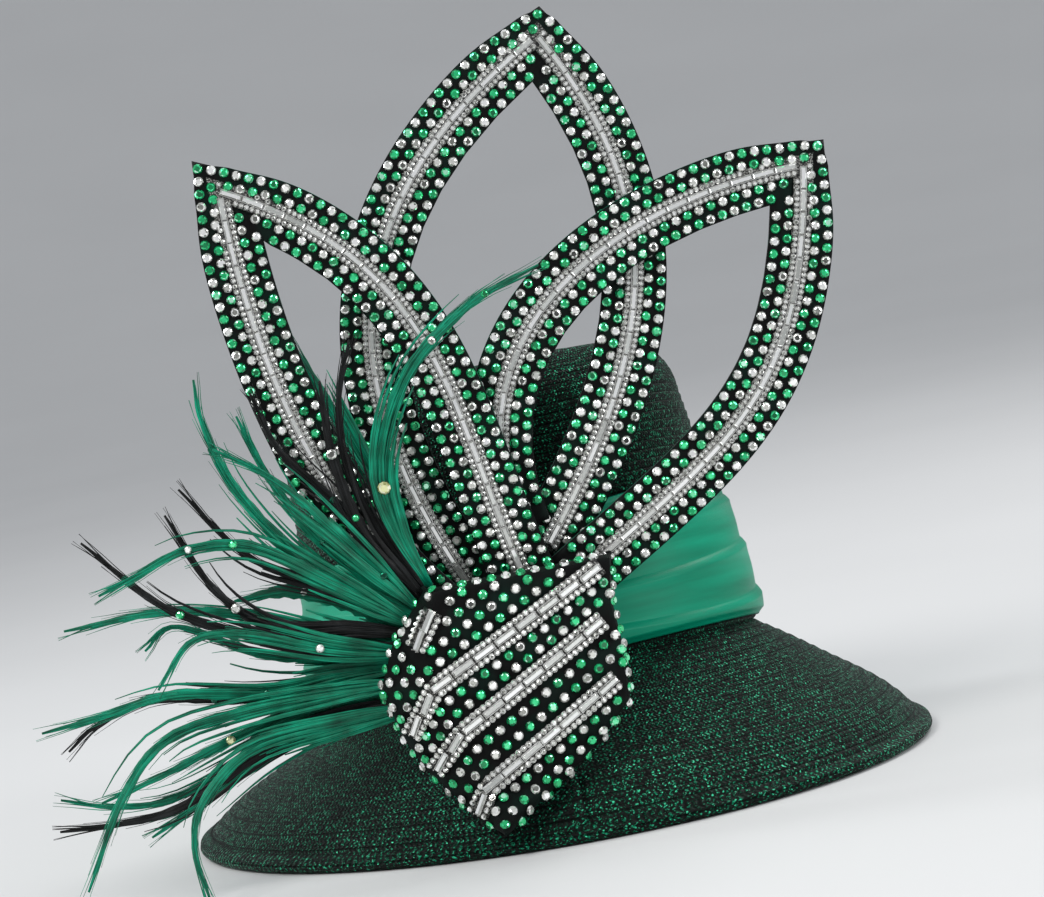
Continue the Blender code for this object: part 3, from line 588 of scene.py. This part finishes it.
long_stone = baguette(0.0093, 0.0024)
satin_back = satin_finish("loop_satin", (0.0, 0.10, 0.06), (0.0, 0.17, 0.10), (0.002, 0.25, 0.15))
chance = random.Random(4)
for which, (_, _, face) in LOOPS.items():
    name = "loop_" + which
    backing = loop_ribbon(name + "_satin", which, STRIP_HALF, -STRIP_HALF, face - 0.0036, 0.0005, satin_back)
    backing.data.flip_normals()
    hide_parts(name + "_backing")
    taken = []
    for part, edges, rows in (
        ("outer", (STRIP_HALF, STONE_EDGE), (ROW_OUT, ROW_IN)),
        ("inner", (-STONE_EDGE, -STRIP_HALF), (-ROW_IN, -ROW_OUT)),
    ):
        base = loop_ribbon(f"{name}_{part}_netting", which, *edges, face + NETTING_OUT, 0.0005, netting)
        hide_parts(f"{name}_{part}_stones")
        copies, first_row = [], []
        for row, offset in enumerate(rows):
            for side in (0, 1):
                length, at = measured(limb(which, side, offset, 0.0021))
                start = 0.0004 if offset == rows[0] and part == "outer" else 0.0024
                for k in range(int((length - start) / ROUND_PITCH)):
                    spot, along = at(start + ROUND_PITCH * k)
                    if any((spot - other).length < ROUND_APART for other in taken):
                        continue
                    taken.append(spot)
                    kind = k % 2
                    if row == 1:
                        kind = 1 - min(first_row, key=lambda held: (spot - held[0]).length)[1]
                    else:
                        first_row.append((spot, kind))
                    tilt = Matrix.Rotation(radians(chance.uniform(-6, 6)), 4, "X")
                    spin = Matrix.Rotation(chance.uniform(0, pi), 4, "Z")
                    place = facing_front(spot, along, face + NETTING_OUT) @ tilt @ spin
                    copies.append((loop_round[kind], place))
        stones = scatter(f"{name}_{part}_rounds", GEMS, copies, len(copies))
    base = loop_ribbon(name + "_trim_mesh", which, TRIM_HALF, -TRIM_HALF, face + TRIM_OUT, 0.0006, trim_mesh)
    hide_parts(name + "_baguette_trim")
    copies, held = [], []
    for side in (0, 1):
        length, at = measured(limb(which, side, 0.0))
        for k in range(int(length / BAGUETTE_PITCH)):
            spot, along = at((0.0052 if side == 1 else 0.0075) + BAGUETTE_PITCH * k)
            copies.append((long_stone, facing_front(spot, along, face + TRIM_OUT)))
        for offset in (SMALL_ROW, -SMALL_ROW):
            length, at = measured(limb(which, side, offset))
            for k in range(int(length / SMALL_PITCH)):
                spot, along = at(0.0013 + SMALL_PITCH * k)
                crowded = any((spot - other).length < 0.0021 for other in held)
                if not crowded and all((spot - other).length > 0.0029 for other in taken):
                    held.append(spot)
                    copies.append((small_stone, facing_front(spot, along, face + TRIM_OUT)))
    trim = scatter(name + "_trim_stones", GEMS, copies, 11)


# ---- felt pad ------------------------------------------------------------------------------------
# The ornament is sewn to the hat through a pad of black felt, cut to the slant of the satin band.
band_points = [v.co for v in band.data.vertices if v.co.y < -0.05 and abs(v.co.x) < 0.05]
bpy.ops.mesh.primitive_cube_add(size=1, location=(0, 0, 0))
pad = bpy.context.object
pad.name = "felt_pad"
bpy.ops.object.mode_set(mode="EDIT")
bpy.ops.mesh.select_all(action="SELECT")
bpy.ops.mesh.subdivide(number_cuts=9)
bpy.ops.object.mode_set(mode="OBJECT")
for vertex in pad.data.vertices:
    share = vertex.co.z + 0.5
    x = -0.006 + vertex.co.x * (0.044 + 0.020 * sin(pi * share) ** 0.5)
    z = 0.022 + 0.047 * share
    rear = min(band_points, key=lambda p: (p.x - x) ** 2 + (p.z - z) ** 2).y - 0.0001
    vertex.co = (x, -0.1059 + (rear + 0.1059) * (vertex.co.y + 0.5), z)
bpy.ops.object.shade_smooth_by_angle(angle=radians(40))
bpy.ops.object.select_all(action="DESELECT")
pad.data.materials.append(felt)
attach(pad, "root")
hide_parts("felt_plate")


# ---- knot ----------------------------------------------------------------------------------------
# Strips of the same netting and trims are wrapped slantwise over a padded buckram core. The wrap
# has a ridge near its left, where every strip and row of stones turns downwards.
KNOT = [
    (63, -40, -36, 37), (45, -56, -44, 34), (26, -65, -45, 35), (4, -59, -36, 34),
    (-9, -53, -33, 21), (-23, -43, -29, 2), (-34, -34, -27, -17), (-38, -28, -26, -23),
]
WRAPS = {
    "upper": [(-57, 6), (-43, 25), (33, 61)],
    "middle": [(-50, -10), (-35, 5), (30, 39)],
    "lower": [(-36, -30), (-29, -19), (31, 14)],
    "short": [(-48, 42), (-38, 56)],
}
KNOT_DEEP = 0.016
KNOT_STONE_OUT = 0.0046
ROW_PITCH, EDGE_PITCH = 0.00608, 0.0061
TRIM_ROOM = 0.0061       # from a filling stone's middle to the middle of a trim
back_points = [v.co.copy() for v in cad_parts["knot_core"].data.vertices]
knot_rear = {round(p.z / MM): max(q.y for q in back_points if abs(q.z - p.z) < 0.0002) for p in back_points}


def knot_edges(z):
    z = max(min(z / MM, 63), -38)
    for high, low in zip(KNOT, KNOT[1:]):
        if z >= low[0]:
            share = (high[0] - z) / (high[0] - low[0])
            return [(a + (b - a) * share) * MM for a, b in zip(high[1:], low[1:])]


def knot_back(z):
    z = max(min(z / MM, 63), -38)
    for high, low in zip(KNOT, KNOT[1:]):
        if z >= low[0]:
            share = (high[0] - z) / (high[0] - low[0])
            return knot_rear[high[0]] + (knot_rear[low[0]] - knot_rear[high[0]]) * share


def knot_front(x, z, out):
    """A point on the wrap, which rolls over softly at its edges."""
    left, ridge, right = knot_edges(z)
    if x < ridge:
        share = min(max((x - left) / max(ridge - left, 1e-6), 0.0), 1.0)
        depth = KNOT_DEEP * (0.25 + 0.75 * share ** 0.8)
    else:
        share = min((x - ridge) / max(right - ridge, 1e-6), 1.0)
        depth = KNOT_DEEP * (1 - 0.55 * share ** 2.2)
    return Vector((x, knot_back(z) - depth - out, z))


def knot_facing(x, z, out, along, turned=Vector((0, 0, 0))):
    """A stone's place on the wrap: its +Z points out of it, its +X along its row. turned points
    outwards for the stones that go round the wrap's edge."""
    spot = knot_front(x, z, out)
    if abs(turned.x) + abs(turned.z) > 0:
        spot = spot + Vector((0, 0.0034, 0)) + turned * 0.0010
    step_x = knot_front(x + 0.002, z, out) - knot_front(x - 0.002, z, out)
    step_z = knot_front(x, z + 0.002, out) - knot_front(x, z - 0.002, out)
    up = step_x.cross(step_z).normalized()
    if up.y > -0.35:
        up = (up + Vector((0, -0.8, 0))).normalized()
    up = (up + turned * 1.4).normalized()
    side = Vector((along.x, 0, along.y))
    side = (side - up * side.dot(up)).normalized()
    other = up.cross(side)
    return Matrix(((side.x, other.x, up.x, spot.x), (side.y, other.y, up.y, spot.y),
                   (side.z, other.z, up.z, spot.z), (0, 0, 0, 1)))


def knot_wrap(u, v):
    if v > 0.93:
        front, over = knot_wrap(u, 0.93), (v - 0.93) / 0.07
        rear = Vector((front.x, knot_back(0.063) + 0.0004, 0.0635))
        return front.lerp(rear, over) + Vector((0, 0, 0.0008 * sin(pi * over)))
    z = (63.4 - 101.4 * (1 - v / 0.93)) * MM
    left, ridge, right = knot_edges(z)
    out = 0.0044 + 0.0005 * sin(pi * ((z - 0.47 * max(u - 0.4, 0) * 0.08) / 0.0105))
    if u < 0.1 or u > 0.9:
        x, turned = (left, 1 - u / 0.1) if u < 0.1 else (right, (u - 0.9) / 0.1)
        front = knot_front(x, z, out)
        rear = Vector((x, knot_back(z) + 0.0004, z))
        spot = front.lerp(rear, turned)
        spot.x += (0.0010 if u > 0.5 else -0.0010) * sin(pi * turned)
        return spot
    share = (u - 0.1) / 0.8
    x = left + (ridge - left) * share / 0.3 if share < 0.3 else ridge + (right - ridge) * (share - 0.3) / 0.7
    return knot_front(x, z, out)


wrap = grid("knot_netting", 90, 100, knot_wrap, (100, 100), netting, 0.0008)
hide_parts("knot_face")

SLOPE = Vector((-0.44, 0.90)) * MM


def shifted(route, by):
    """A route moved across the strips, in millimetres, and run on past the wrap's edges."""
    points = [Vector((x * MM, z * MM)) + SLOPE * by for x, z in route]
    first = points[0] + (points[0] - points[1]).normalized() * 0.03
    last = points[-1] + (points[-1] - points[-2]).normalized() * 0.03
    return [first] + points[1:-1] + [last]


rows = [shifted(WRAPS["upper"], 7.4 + 6.0 * k) for k in range(8)]
rows += [[a.lerp(b, share) for a, b in zip(shifted(WRAPS["middle"], 0), shifted(WRAPS["upper"], 0))]
         for share in (0.36, 0.65)]
rows += [[a.lerp(b, share) for a, b in zip(shifted(WRAPS["lower"], 0), shifted(WRAPS["middle"], 0))]
         for share in (0.35, 0.63)]
rows += [shifted(WRAPS["lower"], -7.2 - 6.0 * k) for k in range(6)]
knot_round = {kind: cut_stone(0.0023, 0.0016, 10, 0.0, kind) for kind in (0, 1)}
short = [Vector((x * MM, z * MM)) for x, z in WRAPS["short"]]
copies, taken = [], []
for row, route in enumerate(rows):
    length, at = measured(route)
    bend = (route[1] - route[0]).length
    for k in range(-20, 40):
        distance = bend + 0.0020 + ROW_PITCH * k
        if not 0 < distance < length:
            continue
        spot, along = at(distance)
        left, _, right = knot_edges(spot.y)
        inside = left - 0.0002 < spot.x < right + 0.0002 and -0.0372 < spot.y < 0.0632
        run = short[1] - short[0]
        reach = min(max((spot - short[0]).dot(run) / run.length_squared, 0), 1)
        blocked = (spot - short[0].lerp(short[1], reach)).length < 0.0058
        if not inside or blocked or any((spot - other).length < 0.0043 for other in taken):
            continue
        taken.append(spot)
        spin = Matrix.Rotation(chance.uniform(0, pi), 4, "Z")
        place = knot_facing(spot.x, spot.y, KNOT_STONE_OUT, along) @ spin
        copies.append((knot_round[(k + row) % 2], place))
strips = [[Vector((x * MM, z * MM)) for x, z in route] for route in WRAPS.values()]
for step_x in range(56):
    for step_z in range(54):
        spot = Vector((-0.068 + 0.0019 * step_x, -0.0372 + 0.0019 * step_z))
        left, _, right = knot_edges(spot.y)
        if not left - 0.0002 < spot.x < right + 0.0002 or spot.y > 0.0625:
            continue
        clear = min((spot - other).length for other in taken) > 0.0047
        for strip in strips:
            for a, b in zip(strip, strip[1:]):
                reach = min(max((spot - a).dot(b - a) / (b - a).length_squared, 0), 1)
                clear = clear and (spot - a.lerp(b, reach)).length > TRIM_ROOM
        if clear:
            taken.append(spot)
            place = knot_facing(spot.x, spot.y, KNOT_STONE_OUT, Vector((1, 0)))
            copies.append((knot_round[(step_x + step_z) % 2], place))
for edge, outward in ((0, Vector((-1, 0, 0))), (2, Vector((1, 0, 0)))):
    for k in range(15):
        z = 0.0590 - EDGE_PITCH * k - 0.0008 * edge
        x = knot_edges(z)[edge]
        place = knot_facing(x, z, KNOT_STONE_OUT, Vector((0, 1)), outward)
        copies.append((knot_round[k % 2], place))
for k in range(12):
    x = -0.0365 + EDGE_PITCH * k
    place = knot_facing(x, 0.0632, KNOT_STONE_OUT, Vector((1, 0)), Vector((0, 0, 1)))
    copies.append((knot_round[k % 2], place))
stones = scatter("knot_stones", GEMS, copies, 5)

knot_crystal = together(cut_stone(0.00122, 0.0012, 8, 0.0008, 1), cup(0.00134, 0.0010))
knot_baguette = baguette(0.0098, 0.0025)
for which, route in WRAPS.items():
    points = [Vector((x * MM, z * MM)) for x, z in route]
    length, at = measured(points)

    def trim_at(u, v, length=length, at=at):
        spot, along = at(length * v)
        across = Vector((along.y, -along.x)) * (u - 0.5) * 0.0080
        return knot_front(spot.x + across.x, spot.y + across.y, 0.0056)
    base = grid(f"knot_{which}_mesh", 4, 60, trim_at, (8, length / MM), trim_mesh, 0.0008)
    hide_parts("knot_trim_" + which)
    copies = []
    count = round(length / 0.0103)
    for k in range(count):
        spot, along = at(length * (k + 0.5) / count)
        copies.append((knot_baguette, knot_facing(spot.x, spot.y, 0.0060, along)))
    for side in (1, -1):
        for k in range(int(length / 0.0027)):
            spot, along = at(0.0013 + 0.0027 * k)
            spot = spot + Vector((-along.y, along.x)) * side * 0.0031
            copies.append((knot_crystal, knot_facing(spot.x, spot.y, 0.0058, along)))
    trim = scatter(f"knot_{which}_stones", GEMS, copies, 6)


# ---- feathers ------------------------------------------------------------------------------------
# Stripped feathers are dyed emerald or black and curled. Each has a fine quill, a narrow vane that
# splits into separate barbs towards its tip, and loose barbs beside it.
STATIONS = 40
FEATHERS = [             # the route, how far its tip comes forward, its width in millimetres and its colour
    ([(-38, 64), (-47, 92), (-47, 120), (-30, 153), (0, 176), (31, 187)], 24, 6.0, "green"),
    ([(-40, 62), (-54, 88), (-62, 120), (-60, 148), (-51, 171)], 9, 3.6, "black"),
    ([(-41, 60), (-60, 90), (-67, 125), (-66, 157)], 15, 5.0, "black"),
    ([(-42, 57), (-66, 100), (-88, 130), (-96, 157)], 4, 4.0, "black"),
    ([(-43, 54), (-70, 92), (-92, 120), (-114, 138)], 19, 4.0, "green"),
    ([(-43, 52), (-75, 85), (-95, 119), (-104, 148)], -4, 4.6, "green"),
    ([(-43, 50), (-84, 82), (-108, 117), (-117, 148), (-117, 167)], 11, 4.6, "green"),
    ([(-43, 48), (-80, 72), (-110, 90), (-133, 123)], 1, 3.4, "black"),
    ([(-43, 46), (-78, 74), (-107, 95), (-133, 99), (-154, 93), (-171, 88)], 23, 5.2, "green"),
    ([(-43, 44), (-73, 52), (-101, 57), (-125, 78), (-140, 114)], 7, 4.4, "black"),
    ([(-43, 42), (-70, 62), (-95, 72), (-120, 72)], -6, 9.0, "green"),
    ([(-43, 40), (-77, 44), (-108, 55), (-146, 76), (-175, 110)], 15, 4.6, "black"),
    ([(-43, 38), (-80, 52), (-115, 66), (-150, 74), (-191, 74)], 2, 5.0, "green"),
    ([(-43, 36), (-82, 46), (-116, 60), (-138, 62), (-154, 46)], 27, 4.2, "green"),
    ([(-43, 34), (-78, 40), (-112, 48), (-146, 66), (-161, 58)], -9, 4.2, "green"),
    ([(-43, 32), (-78, 34), (-112, 33), (-152, 40), (-180, 37), (-207, 35)], 10, 5.4, "green"),
    ([(-43, 30), (-78, 30), (-120, 31), (-160, 38), (-186, 32), (-200, 23)], -5, 4.6, "black"),
    ([(-43, 28), (-74, 30), (-100, 22), (-122, 14)], 1, 9.0, "green"),
    ([(-43, 26), (-80, 28), (-125, 28), (-157, 23), (-178, 4), (-198, -30)], 28, 5.0, "green"),
    ([(-43, 24), (-90, 25), (-129, 17), (-160, 8), (-189, 1)], 6, 4.6, "green"),
    ([(-43, 22), (-85, 20), (-125, 7), (-160, -4), (-185, -3), (-207, 4)], -3, 4.4, "green"),
    ([(-43, 20), (-85, 17), (-118, 10), (-156, -6), (-182, -8), (-207, -6)], 14, 5.0, "black"),
    ([(-43, 18), (-75, 17), (-117, 7), (-147, -7), (-172, -18)], 1, 5.0, "green"),
    ([(-43, 16), (-85, 15), (-123, 12), (-146, -4), (-153, -22), (-150, -44)], 26, 4.6, "green"),
    ([(-46, 92), (-62, 136), (-72, 163), (-81, 185)], 0, 4.6, "green"),
]


def vane(name, dark, middle, light):
    """Dyed barbs lying side by side, with a dull silk sheen and uneven dye along each."""
    made, step, join = material(name, Roughness=0.42, Specular_IOR_Level=0.24)
    uv = step("UVMap", uv_map="UVMap")
    streaks = step("TexNoise", Vector=step("Mapping", uv, Scale=(2.6, 0.035, 1.0)), Scale=1.0, Detail=4.0)
    patches = step("TexNoise", Vector=step("TexCoord").outputs["Object"], Scale=90.0, Detail=2.0)
    mixed = step("Math", patches, 0.5, streaks, operation="MULTIPLY_ADD")
    join(Base_Color=ramp(step, mixed, (0.48, dark), (0.75, middle), (0.96, light)))
    join(Normal=step("Bump", Strength=0.8, Distance=0.0005, Height=streaks))
    return made


vanes = {
    "green": vane("green_vane", (0.0, 0.010, 0.006), (0.0, 0.155, 0.082), (0.001, 0.36, 0.205)),
    "black": vane("black_vane", (0.0008, 0.0008, 0.0008), (0.0035, 0.004, 0.004), (0.020, 0.023, 0.025)),
}


def feather_line(route, forward, stem, count):
    """A smooth line through a feather's given points, coming forward towards its tip."""
    at = [Vector((x, z)) * MM for x, z in route]
    at = [at[0] * 2 - at[1]] + at + [at[-1] * 2 - at[-2]]
    line = []
    for a, b, c, d in zip(at, at[1:], at[2:], at[3:]):
        line += [p.to_2d() for p in interpolate_bezier(
            b.to_3d(), (b + (c - a) / 6).to_3d(), (c - (d - b) / 6).to_3d(), c.to_3d(), 16)]
    length, along = measured(line)
    points = []
    for k in range(count + 1):
        spot = along(length * k / count)[0]
        points.append(Vector((spot.x, stem - forward * MM * (k / count) ** 2, spot.y)))
    return points


def ribbon(out, line, widths, arch, tone):
    """Add a strip along a line to the lists of points, faces and pattern places."""
    points, faces, pattern = out
    start, run = len(points), 0.0
    for k, p in enumerate(line):
        ahead = line[min(k + 1, len(line) - 1)] - line[max(k - 1, 0)]
        across = Vector((-ahead.z, 0, ahead.x)).normalized() * widths[k]
        run += (p - line[k - 1]).length / MM if k else 0.0
        lift = Vector((0, -arch * widths[k], 0))
        points += [p - across + lift, p, p + across + lift]
        pattern += [(tone - widths[k] / MM, run), (tone, run), (tone + widths[k] / MM, run)]
    for k in range(len(line) - 1):
        for side in (0, 1):
            a = start + 3 * k + side
            faces.append((a, a + 1, a + 4, a + 3))


def feather(name, route, forward, stem, width, colour, seed):
    roll = random.Random(seed)
    out = ([], [], [])
    line = feather_line(route, forward, stem, STATIONS)
    wide = [
        0.0004 + (width * MM / 2 - 0.0004) * sin(pi * (0.04 + 0.96 * k / 40) ** 0.7) ** 0.8
        * (0.86 + 0.14 * sin(k * 1.9 + seed)) for k in range(STATIONS + 1)
    ]
    ribbon(out, line, [1.12 * w for w in wide], 0.45, 5.0)
    quill = [p + Vector((0, -0.0002, 0)) for p in line]
    ribbon(out, quill, [0.00042 * (1 - k / 48) for k in range(STATIONS + 1)], -0.7, 30.0)
    for barb in range(14):
        side = 1 if barb % 2 else -1
        first = int(8 + 30 * roll.random() ** 0.6)
        last = min(first + roll.randint(7, 13), STATIONS)
        strand, spread = [], roll.uniform(0.9, 2.6)
        for k in range(first, last + 1):
            share = (k - first) / (last - first + 1e-6)
            ahead = (line[min(k + 1, STATIONS)] - line[max(k - 1, 0)]).normalized()
            across = Vector((-ahead.z, 0, ahead.x)) * side
            strand.append(line[k] + across * (0.6 * wide[k] + spread * MM * share ** 1.4)
                          + Vector((0, roll.uniform(-0.4, 0.1) * MM - 0.0006 * share, 0)))
        end = strand[-1] + (strand[-1] - strand[-2]).normalized() * 0.003
        strand.append(end)
        count = len(strand)
        widths = [max(0.00034 * (1 - k / count), 0.00006) for k in range(count)]
        ribbon(out, strand, widths, 0.3, 40.0 + 3 * barb)
    for loose in range(13):
        drift, reach = roll.uniform(-8.5, 8.5) * MM, roll.randint(14, 34)
        strand = []
        for k in range(0, reach, 2):
            share = k / reach
            ahead = (line[min(k + 1, STATIONS)] - line[max(k - 1, 0)]).normalized()
            across = Vector((-ahead.z, 0, ahead.x))
            strand.append(line[k] + across * drift * (0.25 + 0.75 * share) * min(1.0, 0.3 + 2 * share)
                          + Vector((0, -0.0004 * (loose % 3) - 0.0008 * sin(pi * share), 0)))
        count = len(strand)
        half = roll.uniform(0.4, 1.15) * MM
        ribbon(out, strand, [max(half * sin(pi * (0.25 + 0.75 * k / count)), 0.00008) for k in range(count)],
               0.4, 80.0 + 5 * loose)
    points, faces, pattern = out
    mesh = bpy.data.meshes.new(name)
    mesh.from_pydata(points, [], faces)
    layer = mesh.uv_layers.new(name="UVMap")
    for corner in mesh.loops:
        layer.data[corner.index].uv = pattern[corner.vertex_index]
    mesh.shade_smooth()
    mesh.materials.append(vanes[colour])
    made = bpy.data.objects.new(name, mesh)
    bpy.context.collection.objects.link(made)
    bpy.context.view_layer.objects.active = made
    made.select_set(True)
    bpy.ops.object.modifier_add(type="SOLIDIFY")
    made.modifiers["Solidify"].thickness = 0.00018
    made.modifiers["Solidify"].offset = 0
    bpy.ops.object.modifier_apply(modifier="Solidify")
    bpy.ops.object.select_all(action="DESELECT")
    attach(made, "root")
    return made, line


front_of = []
for k, (route, forward, width, colour) in enumerate(FEATHERS):
    stem = -0.1298 - 0.0102 * (forward + 9) / 37 if k < 24 else -0.1213
    node = f"feather_{k + 1:02d}_{colour}"
    made, line = feather(f"plume_{k + 1:02d}", route, forward, stem, width, colour, k + 1)
    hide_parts(node)
    front_of += line if k < 24 else []


# ---- sequins and crystals on the feathers ----------------------------------------------------------
# A few flat stones, cup sequins and small crystals are glued to the feathers' fronts.
green_sequin, step, join = material("green_sequin", Metallic=0.85, Roughness=0.18, Coat_Weight=0.5)
ringed = step("TexVoronoi", Vector=step("TexCoord").outputs["Object"], Scale=900.0)
join(Base_Color=ramp(step, ringed, (0.1, (0.0, 0.30, 0.15)), (0.6, (0.0, 0.08, 0.045))))
join(Normal=step("Bump", Strength=0.3, Distance=0.0002, Height=ringed))
yellow_stone = foiled("yellow_crystal", (0.0, (0.30, 0.30, 0.08)),
                      (0.5, (0.72, 0.75, 0.35)), (1.0, (1.0, 1.0, 0.8)))
DROPS = [                # across, up and radius in millimetres, and which of drop_gems it is
    (-75, 125, 2.4, 1), (-49, 102, 3.1, 2), (-21, 160, 1.9, 1), (5, 178, 1.8, 0), (-108, 100, 2.0, 0),
    (-127, 100, 1.7, 1), (-93, 72, 1.8, 1), (-121, 67, 2.3, 1), (-87, 48, 2.0, 1), (-101, 48, 1.7, 2),
    (-143, 68, 2.0, 0), (-101, 23, 1.8, 0), (-129, 18, 2.2, 2), (-61, 97, 1.7, 0), (-71, 102, 1.6, 3),
    (-59, 70, 1.8, 3), (-84, 90, 1.5, 3), (-112, 40, 1.5, 3), (-140, 33, 1.6, 3), (-98, 8, 1.5, 1),
]
drop_gems = [green_stone, clear_stone, yellow_stone, green_sequin]
copies = []
for x, z, radius, kind in DROPS:
    goal = Vector((x * MM, z * MM))
    near = sorted(front_of, key=lambda p: (Vector((p.x, p.z)) - goal).length)[:3]
    spot = min(near, key=lambda p: p.y)
    tilt = Matrix.Rotation(radians(90 + chance.uniform(-9, 9)), 4, "X")
    place = Matrix.Translation((spot.x, spot.y - 0.0016, spot.z)) @ tilt
    shape = cut_stone(radius * MM, 0.0013 if kind < 3 else 0.0006, 10, 0.0, kind)
    copies.append((shape, place))
drops = scatter("feather_crystals", drop_gems, copies, 8)


# ---- studio --------------------------------------------------------------------------------------
# A pale round floor rises gently at its far edge, and large soft lamps stand round the hat.
def sweep(turn, v):
    radius = 9 * (1 - v)
    rise = max(radius - 3.0, 0.0)
    return Vector((radius * cos(2 * pi * turn), radius * sin(2 * pi * turn), -0.0502 + 0.075 * rise ** 2))


paper, step, join = material("studio_paper", Roughness=0.9)
tooth = step("TexNoise", Vector=step("TexCoord").outputs["Object"], Scale=3.0, Detail=2.0)
join(Base_Color=ramp(step, tooth, (0.3, (0.66, 0.66, 0.66)), (0.7, (0.68, 0.68, 0.68))))
grid("studio_floor", 64, 80, sweep, (1, 1), paper)


def lamp(name, at, size, power, color):
    bpy.ops.object.light_add(type="AREA", location=at)
    made = bpy.context.object
    made.name = name
    made.data.shape = "RECTANGLE"
    made.data.size, made.data.size_y = size
    made.data.energy = power
    made.data.color = color
    made.rotation_euler = (Vector((0, -0.05, 0.10)) - Vector(at)).to_track_quat("-Z", "Y").to_euler()


lamp("key_lamp", (-0.9, -1.5, 1.4), (0.7, 0.7), 22, (1.0, 0.98, 0.96))
lamp("fill_lamp", (1.5, -1.2, 0.8), (0.6, 1.0), 15, (0.97, 0.99, 1.0))
lamp("rim_lamp", (1.0, 0.9, 1.5), (0.7, 0.7), 12, (1.0, 1.0, 1.0))
lamp("strip_lamp", (-1.4, 0.3, 0.8), (0.3, 1.2), 8, (0.95, 1.0, 1.0))
bpy.context.scene.view_settings.view_transform = "Standard"
bpy.context.scene.world = bpy.data.worlds.new("studio_air")
bpy.context.scene.world.use_nodes = True
air = bpy.context.scene.world.node_tree.nodes["Background"]
air.inputs["Color"].default_value = (0.85, 0.88, 0.92, 1)
air.inputs["Strength"].default_value = 0.60

roll = radians(10.9)
sight = Vector((0, cos(radians(4)), -sin(radians(4))))
above = Vector((0, sin(radians(4)), cos(radians(4))))
right = Vector((1, 0, 0)) * cos(roll) - above * sin(roll)
upward = Vector((1, 0, 0)) * sin(roll) + above * cos(roll)
bpy.ops.object.camera_add()
camera = bpy.context.object
camera.data.lens = 135
camera.data.sensor_width = 36
camera.matrix_world = Matrix((
    (right.x, upward.x, -sight.x, 0.01035), (right.y, upward.y, -sight.y, -1.75548),
    (right.z, upward.z, -sight.z, 0.22611), (0, 0, 0, 1)))
camera.data.dof.use_dof = False
bpy.context.scene.camera = camera
bpy.context.view_layer.update()
